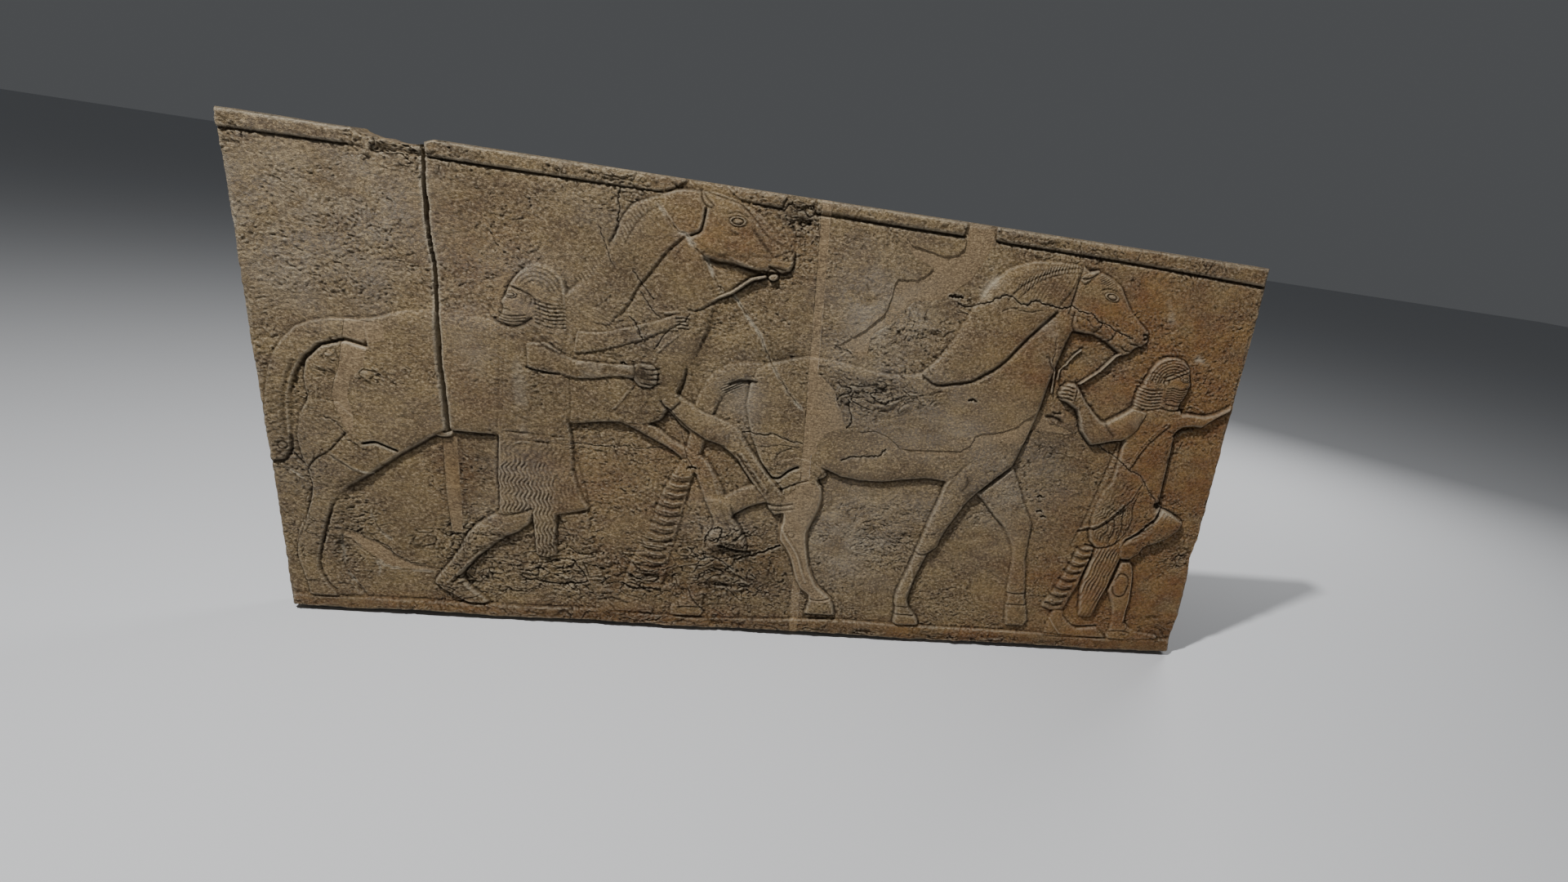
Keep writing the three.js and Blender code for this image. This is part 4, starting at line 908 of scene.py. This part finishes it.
def dry_finish(name, tones, ochre, red, grey_tone, bump_height, speck_depth):
    """A dry, matt mineral finish, from noise at real sizes and the maps on the mesh.

    Blotches run between the first two tones and flecks have the third. Over them lie the grey and the ochre
    zones, dark specks, dirt with painted shade in the cuts and hollows, and pale scuffs with painted
    highlights on ridges. Grit and coarser pits make the bump. Real grit is under a millimetre, too fine
    to show, so the finest pattern is drawn at 4.5 mm.
    """
    material = bpy.data.materials.new(name)
    material.use_nodes = True
    tree = material.node_tree
    shader = tree.nodes["Principled BSDF"]
    place = node(tree, "ShaderNodeTexCoord").outputs["Object"]
    zones = node(tree, "ShaderNodeAttribute", {"attribute_name": "zones"}).outputs["Vector"]
    warm_zone, grey_zone, dirt_and_shade_zone = node(tree, "ShaderNodeSeparateXYZ", None, i0=zones).outputs
    pale_wear_and_highlights = node(tree, "ShaderNodeAttribute", {"attribute_name": "pale_wear_and_highlight"}).outputs["Fac"]
    times = {"operation": "MULTIPLY"}
    patterns = []
    for size, stretch, detail, roughness in (
        (70, 1.5, 6.0, 0.68), (7, 1.3, 3.0, 0.75), (4.5, 1.3, 3.0, 0.7), (9, 1.4, 4.0, 0.75),
    ):
        scale = (1000 / size / stretch, 1000 / size, 1000 / size)
        scaled = node(tree, "ShaderNodeVectorMath", times, i0=place, i1=scale).outputs[0]
        pattern = node(
            tree, "ShaderNodeTexNoise", None, Vector=scaled, Scale=1.0, Detail=detail, Roughness=roughness)
        patterns.append(pattern.outputs["Fac"])
    blotch, speck, grit, pits = patterns
    shares = []
    for pattern, low, high in (
        (blotch, 0.36, 0.64), (speck, 0.5, 0.68), (speck, 0.35, 0.6),
        (blotch, 0.4, 0.62), (speck, 0.52, 0.34), (grit, 0.54, 0.7),
    ):
        stretched = node(tree, "ShaderNodeMapRange", None, Value=pattern, From_Min=low, From_Max=high)
        shares.append(stretched.outputs[0])
    second_share, third_share, grey_share, red_share, shade_share, speck_share = shares
    mix = "ShaderNodeMix"
    rgb = {"data_type": "RGBA"}
    colour = node(tree, mix, rgb, i0=second_share, i6=linear(tones[0]), i7=linear(tones[1])).outputs[2]
    colour = node(tree, mix, rgb, i0=third_share, i6=colour, i7=linear(tones[2])).outputs[2]
    greys = node(tree, mix, rgb, i0=grey_share, i6=linear(grey_tone), i7=colour).outputs[2]
    ochres = node(tree, mix, rgb, i0=red_share, i6=linear(ochre), i7=linear(red)).outputs[2]
    # The dark layer paints dirt and painted shade, and the pale layer pale wear and painted highlights.
    for amount, most, layer_colour in (
        (grey_zone, 1.0, greys), (warm_zone, 0.8, ochres),
        (shade_share, speck_depth, linear("#3d2c18")), (speck_share, speck_depth, linear("#35261a")),
        (dirt_and_shade_zone, 0.85, linear("#1c130b")), (pale_wear_and_highlights, 0.6, linear("#d2c7b0")),
    ):
        share = node(tree, "ShaderNodeMath", times, i0=amount, i1=most).outputs[0]
        colour = node(tree, mix, rgb, i0=share, i6=colour, i7=layer_colour).outputs[2]
    tree.links.new(colour, shader.inputs["Base Color"])
    shader.inputs["Roughness"].default_value = 0.93
    shader.inputs["Specular IOR Level"].default_value = 0.25
    both = node(tree, "ShaderNodeMath", {"operation": "MULTIPLY_ADD"}, i0=grit, i1=0.4, i2=pits).outputs[0]
    bump = node(tree, "ShaderNodeBump", None, Strength=1.0, Distance=bump_height / 1000, Height=both)
    tree.links.new(bump.outputs[0], shader.inputs["Normal"])
    return material


# Gypsum stone, carved and then weathered: dry and matt, brown with pale flecks and a pitted skin.
stone = dry_finish(
    "brown stone", ("#968059", "#6c5840", "#b5a07f"), "#9a7342", "#8b5d35", "#998f82", 17, 0.55)


def mesh_from(name, points, faces):
    """A mesh of these points and faces."""
    mesh = bpy.data.meshes.new(name)
    mesh.from_pydata(points, [], faces)
    return mesh


def added(name, data):
    """An object with this mesh, lamp or camera, put into the scene."""
    made = bpy.data.objects.new(name, data)
    bpy.context.scene.collection.objects.link(made)
    return made


def sheet_to_frame(u, v, depth):
    """Sheet millimetres and a depth from the back as metres in the frame."""
    return np.stack([(u - sheet_width / 2) / 1000, -depth / 1000, (v - sheet_height / 2) / 1000], axis=-1)


def slab_block(name, box, heights, back):
    """A closed body over a rectangle: a grid of quads in front, straight sides, a fan across the back."""
    up, over = window(np.array(box, float), 0)
    u, v, depth = U[up, over], V[up, over], heights[up, over]
    tall, wide = u.shape
    front = sheet_to_frame(u, v, depth).reshape(-1, 3)
    index = np.arange(tall * wide).reshape(tall, wide)
    ring = np.concatenate([index[0, :-1], index[:-1, -1], index[-1, :0:-1], index[:0:-1, 0]])
    behind = front[ring].copy()
    behind[:, 1] = -back / 1000
    centre = behind.mean(0, keepdims=True)
    points = np.vstack([front, behind, centre])
    quads = np.stack([index[:-1, :-1], index[:-1, 1:], index[1:, 1:], index[1:, :-1]], axis=-1)
    quads = quads.reshape(-1, 4)
    low = len(front) + np.arange(len(ring))
    sides = np.stack([ring, low, np.roll(low, -1), np.roll(ring, -1)], axis=1)
    fan = np.stack([low, np.full(len(low), len(points) - 1), np.roll(low, -1)], axis=1)
    corners = np.concatenate([quads.ravel(), sides.ravel(), fan.ravel()])
    counts = np.concatenate([np.full(len(quads) + len(sides), 4), np.full(len(fan), 3)])
    mesh = bpy.data.meshes.new(name)
    mesh.vertices.add(len(points))
    mesh.vertices.foreach_set("co", points.ravel())
    mesh.loops.add(len(corners))
    mesh.loops.foreach_set("vertex_index", corners)
    mesh.polygons.add(len(counts))
    mesh.polygons.foreach_set("loop_start", np.concatenate([[0], np.cumsum(counts)[:-1]]))
    mesh.update(calc_edges=True)
    return added(name, mesh)


def prism(name, outlines, near=-5.0, far=300.0):
    """Straight bodies with closed outlines, from one depth to another, as one cutter."""
    points, faces = [], []
    for outline in outlines:
        path = np.array(outline, float)
        turn = np.sum(path[:, 0] * np.roll(path[:, 1], -1) - np.roll(path[:, 0], -1) * path[:, 1])
        if turn < 0:
            path = path[::-1]
        count, first = len(path), len(points)
        points += list(sheet_to_frame(path[:, 0], path[:, 1], np.full(count, near)))
        points += list(sheet_to_frame(path[:, 0], path[:, 1], np.full(count, far)))
        faces.append([first + i for i in reversed(range(count))])
        faces.append([first + count + i for i in range(count)])
        for i in range(count):
            after = (i + 1) % count
            faces.append([first + i, first + after, first + count + after, first + count + i])
    return added(name, mesh_from(name, [tuple(p) for p in points], faces))


def solid_step(body, kind, cutter):
    """Cuts or joins a closed body with another one."""
    step = body.modifiers.new(kind.lower(), "BOOLEAN")
    step.operation = kind
    step.solver = "MANIFOLD"
    step.object = cutter


def sampled(field, u, v):
    """The field at any sheet points, between its four nearest grid points."""
    x = np.clip(u / grid_step, 0, columns - 1.001)
    y = np.clip(v / grid_step, 0, rows - 1.001)
    i, j = x.astype(int), y.astype(int)
    s, t = x - i, y - j
    low = field[j, i] * (1 - s) + field[j, i + 1] * s
    high = field[j + 1, i] * (1 - s) + field[j + 1, i + 1] * s
    return low * (1 - t) + high * t


def finished(body, node_name, material, most_triangles, less_dirt_and_shade):
    """Applies the cuts, thins the mesh, writes the zones, and puts the piece in the frame."""
    depsgraph = bpy.context.evaluated_depsgraph_get()
    before = body.evaluated_get(depsgraph).data
    before.calc_loop_triangles()
    share = most_triangles / max(len(before.loop_triangles), 1)
    if share < 1:
        thin = body.modifiers.new("thin", "DECIMATE")
        thin.ratio = share
        depsgraph = bpy.context.evaluated_depsgraph_get()
    mesh = bpy.data.meshes.new_from_object(body.evaluated_get(depsgraph))
    body.modifiers.clear()
    body.data = mesh
    places = np.empty(len(mesh.vertices) * 3)
    mesh.vertices.foreach_get("co", places)
    places = places.reshape(-1, 3) * 1000
    u, v = places[:, 0] + sheet_width / 2, places[:, 2] + sheet_height / 2
    on_face = -places[:, 1] > ground - face_margin
    zones = np.zeros((len(u), 3), np.float32)
    zones[:, 0] = sampled(warm, u, v)
    zones[:, 1] = sampled(grey, u, v)
    # Dirt with painted shade, less on the fills, then pale wear with painted highlights, both only on the
    # carved face.
    zones[:, 2] = np.where(on_face, sampled(dirt_and_painted_shade, u, v) * (1 - 0.75 * less_dirt_and_shade), 0.25)
    mesh.attributes.new("zones", "FLOAT_VECTOR", "POINT").data.foreach_set("vector", zones.ravel())
    pale = np.where(on_face, sampled(pale_wear_and_highlight, u, v), 0).astype(np.float32)
    mesh.attributes.new("pale_wear_and_highlight", "FLOAT", "POINT").data.foreach_set("value", pale)
    mesh.polygons.foreach_set("use_smooth", np.ones(len(mesh.polygons), bool))
    mesh.set_sharp_from_angle(angle=math.radians(55))
    mesh.materials.clear()
    mesh.materials.append(material)
    body.name = node_name + "_carved"
    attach(body, "root")
    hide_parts(node_name)


def upright(left, right):
    """The outline of an upright strip that stands out beyond the panel's top and underside."""
    top = sheet_height + beyond
    return [(left, -beyond), (right, -beyond), (right, top), (left, top)]


depth_map = relief + ground
edge_points = [
    (0, 14), (180, 10), (420, 18), (700, 8), (980, 16), (1330, 10), (1720, 16), (2200, 8), (2650, 16),
    (3000, 8), (3298, 18), (3290, 98), (3300, 200), (3294, 396), (3284, 470), (3294, 545), (3300, 700),
    (3296, 1000), (3300, 1300), (3296, 1600), (566, 1600), (536, 1586), (508, 1575), (446, 1579),
    (374, 1586), (349, 1600), (2, 1600), (4, 1300), (0, 1000), (5, 500)]
rim = broken(edge_points, 2.5)
rim = np.clip(rim, (rim_inset, underside + rim_inset), (sheet_width - rim_inset, sheet_height - rim_inset))
rim_cutter = prism("rim", [rim])
recess_cutter = prism("recesses", [*fill_outlines.values(), lobe_outline], ground - recess_depth)
strip_cutter = prism("strip", [upright(strip_left, strip_right)])
over_top = sheet_height + beyond
middle_edge = right_joint - half_gap
left_column = [(-beyond, over_top), (-beyond, -beyond), *(joint_path - (half_gap, 0))]
middle_column = [(middle_edge, -beyond), (middle_edge, over_top), *(joint_path[::-1] + (half_gap, 0))]
right_column = upright(right_joint + half_gap, sheet_width + beyond)
for name, column, box, most in (
    ("left_slab", left_column, ((0, 0), (570, 1600)), 150000),
    ("middle_slab", middle_column, ((510, 0), (1730, 1600)), 190000),
    ("right_slab", right_column, ((1700, 0), (3300, 1600)), 195000),
):
    slab = slab_block(name + "_block", box, depth_map, 0.0)
    column_cutter = prism(name + "_column", [column])
    solid_step(slab, "INTERSECT", rim_cutter)
    solid_step(slab, "INTERSECT", column_cutter)
    solid_step(slab, "DIFFERENCE", recess_cutter)
    solid_step(slab, "DIFFERENCE", strip_cutter)
    finished(slab, name, stone, most, 0)
    bpy.data.objects.remove(column_cutter)

# The plaster fills
# Plaster set 25 mm into the slabs, smooth and slightly sunk, with a gap of 0.3 mm at its edges.
# The finish is lime and gypsum plaster, trowelled and toned to the stone: flatter, with fainter specks.
plaster_finish = dry_finish(
    "toned plaster", ("#968061", "#847056", "#a79373"), "#94764a", "#8c6c44", "#8c8270", 10, 0.5)
fill_waves = 0.8 * noise(90, 90) + 0.6 * noise(25, 22) + 0.3 * slanted(9, 7, 15, 20)
fill_waves -= 1.2 * smoothstep(0.4, 1, noise(14, 11))


def drawn_in(outline, gap):
    """An outline moved inwards by a gap, along the line between its neighbours' normals."""
    path = np.array(outline, float)
    run = np.roll(path, -1, axis=0) - np.roll(path, 1, axis=0)
    length = np.maximum(np.hypot(run[:, 0], run[:, 1]), 1e-6)[:, None]
    side = np.stack([run[:, 1], -run[:, 0]], axis=1) / length
    turn = np.sum(path[:, 0] * np.roll(path[:, 1], -1) - np.roll(path[:, 0], -1) * path[:, 1])
    return path - gap * np.sign(turn) * side


for name, outline in fill_outlines.items():
    heights = np.minimum(ground + smooth_relief + fill_waves - fill_sink[name], furthest)
    box = (outline.min(0) - 8, outline.max(0) + 8)
    fill = slab_block(name + "_block", box, heights, ground - recess_depth + fill_gap)
    cutter = prism(name + "_cutter", [drawn_in(outline, fill_gap)])
    solid_step(fill, "INTERSECT", cutter)
    solid_step(fill, "INTERSECT", rim_cutter)
    finished(fill, name, plaster_finish, 30000, 0 if name == "left_joint_fill" else 1)
    bpy.data.objects.remove(cutter)

# The plaster strip in the right joint
# The same plaster the panel's full height, spread over the right slab in one lobe.
strip_sink = 1.5
strip_heights = np.minimum(ground + smooth_relief + fill_waves - strip_sink, furthest)
strip = slab_block("right_joint_block", ((1695, 0), (1865, 1600)), strip_heights, 0.0)
strip_shape = prism("strip_shape", [upright(strip_left + fill_gap, strip_right - fill_gap)])
lobe_shape = prism("lobe_shape", [drawn_in(lobe_outline, fill_gap)], ground - recess_depth + fill_gap)
solid_step(strip_shape, "UNION", lobe_shape)
leg_cutter = prism("leg_cutter", [fill_outlines["leg_fill"]], ground - recess_depth)
solid_step(strip, "INTERSECT", strip_shape)
solid_step(strip, "INTERSECT", rim_cutter)
solid_step(strip, "DIFFERENCE", leg_cutter)
finished(strip, "right_joint_fill", plaster_finish, 60000, 1)
for cutter in (strip_shape, lobe_shape, leg_cutter, rim_cutter, recess_cutter, strip_cutter):
    bpy.data.objects.remove(cutter)

# Floor, light and camera
# A plain pale floor under the panel, a light from above and in front, a weak fill, and a soft light
# behind the panel, which shows its back and its right end.
floor_reach = 60
floor_height = -sheet_height / 2000
floor_corners = [
    (-floor_reach, -floor_reach, floor_height), (floor_reach, -floor_reach, floor_height),
    (floor_reach, floor_reach, floor_height), (-floor_reach, floor_reach, floor_height),
]
floor_mesh = mesh_from("floor", floor_corners, [(0, 1, 2, 3)])
floor = added("floor", floor_mesh)
floor_material = bpy.data.materials.new("pale floor")
floor_material.use_nodes = True
floor_shader = floor_material.node_tree.nodes["Principled BSDF"]
floor_shader.inputs["Base Color"].default_value = linear("#cfd0d2")
floor_shader.inputs["Roughness"].default_value = 0.9
floor_mesh.materials.append(floor_material)

world = bpy.data.worlds.new("studio")
bpy.context.scene.world = world
world.use_nodes = True
world.node_tree.nodes["Background"].inputs["Color"].default_value = linear("#d9dde2")
world.node_tree.nodes["Background"].inputs["Strength"].default_value = 0.11


def aim(thing, spot):
    """Points a light at a spot: tilted from straight down, then turned about the vertical."""
    run = np.array(spot) - np.array(thing.location)
    thing.rotation_euler = (math.acos(run[2] / -np.linalg.norm(run)), 0, math.atan2(-run[0], run[1]))


panel_middle = (0.1, -0.1, -0.1)
for name, place, size, power in (
    ("key", (-2.1, -2.5, 5.7), 0.35, 600),
    ("fill", (2.5, -4.5, 1.0), 3.5, 8),
    ("back", (3.8, 3.4, 2.4), 2.5, 130),
):
    lamp = bpy.data.lights.new(name, "AREA")
    lamp.shape = "DISK"
    lamp.size = size
    lamp.energy = power
    light = added(name, lamp)
    light.location = place
    light.visible_camera = False
    aim(light, panel_middle)

image_width = 1920
sensor_width = 36
focal_pixels = 1000
right_of_centre = 220
below_centre = 100
camera_data = bpy.data.cameras.new("camera")
camera_data.sensor_width = sensor_width
camera_data.lens = sensor_width * focal_pixels / image_width
camera_data.shift_x = -right_of_centre / image_width
camera_data.shift_y = below_centre / image_width
camera = added("camera", camera_data)
camera_place = (0.086, -2.960, 0.833)
looking = np.array([0.190, 0.916, -0.353])
head_up = np.array([-0.081, 0.373, 0.923])
looking /= np.linalg.norm(looking)
sideways = np.cross(looking, head_up)
sideways /= np.linalg.norm(sideways)
head_up = np.cross(sideways, looking)
turned = np.eye(4)
turned[:3, 0], turned[:3, 1], turned[:3, 2] = sideways, head_up, -looking
turned[:3, 3] = camera_place
camera.matrix_world = Matrix(turned.tolist())
bpy.context.scene.camera = camera

bpy.context.view_layer.update()
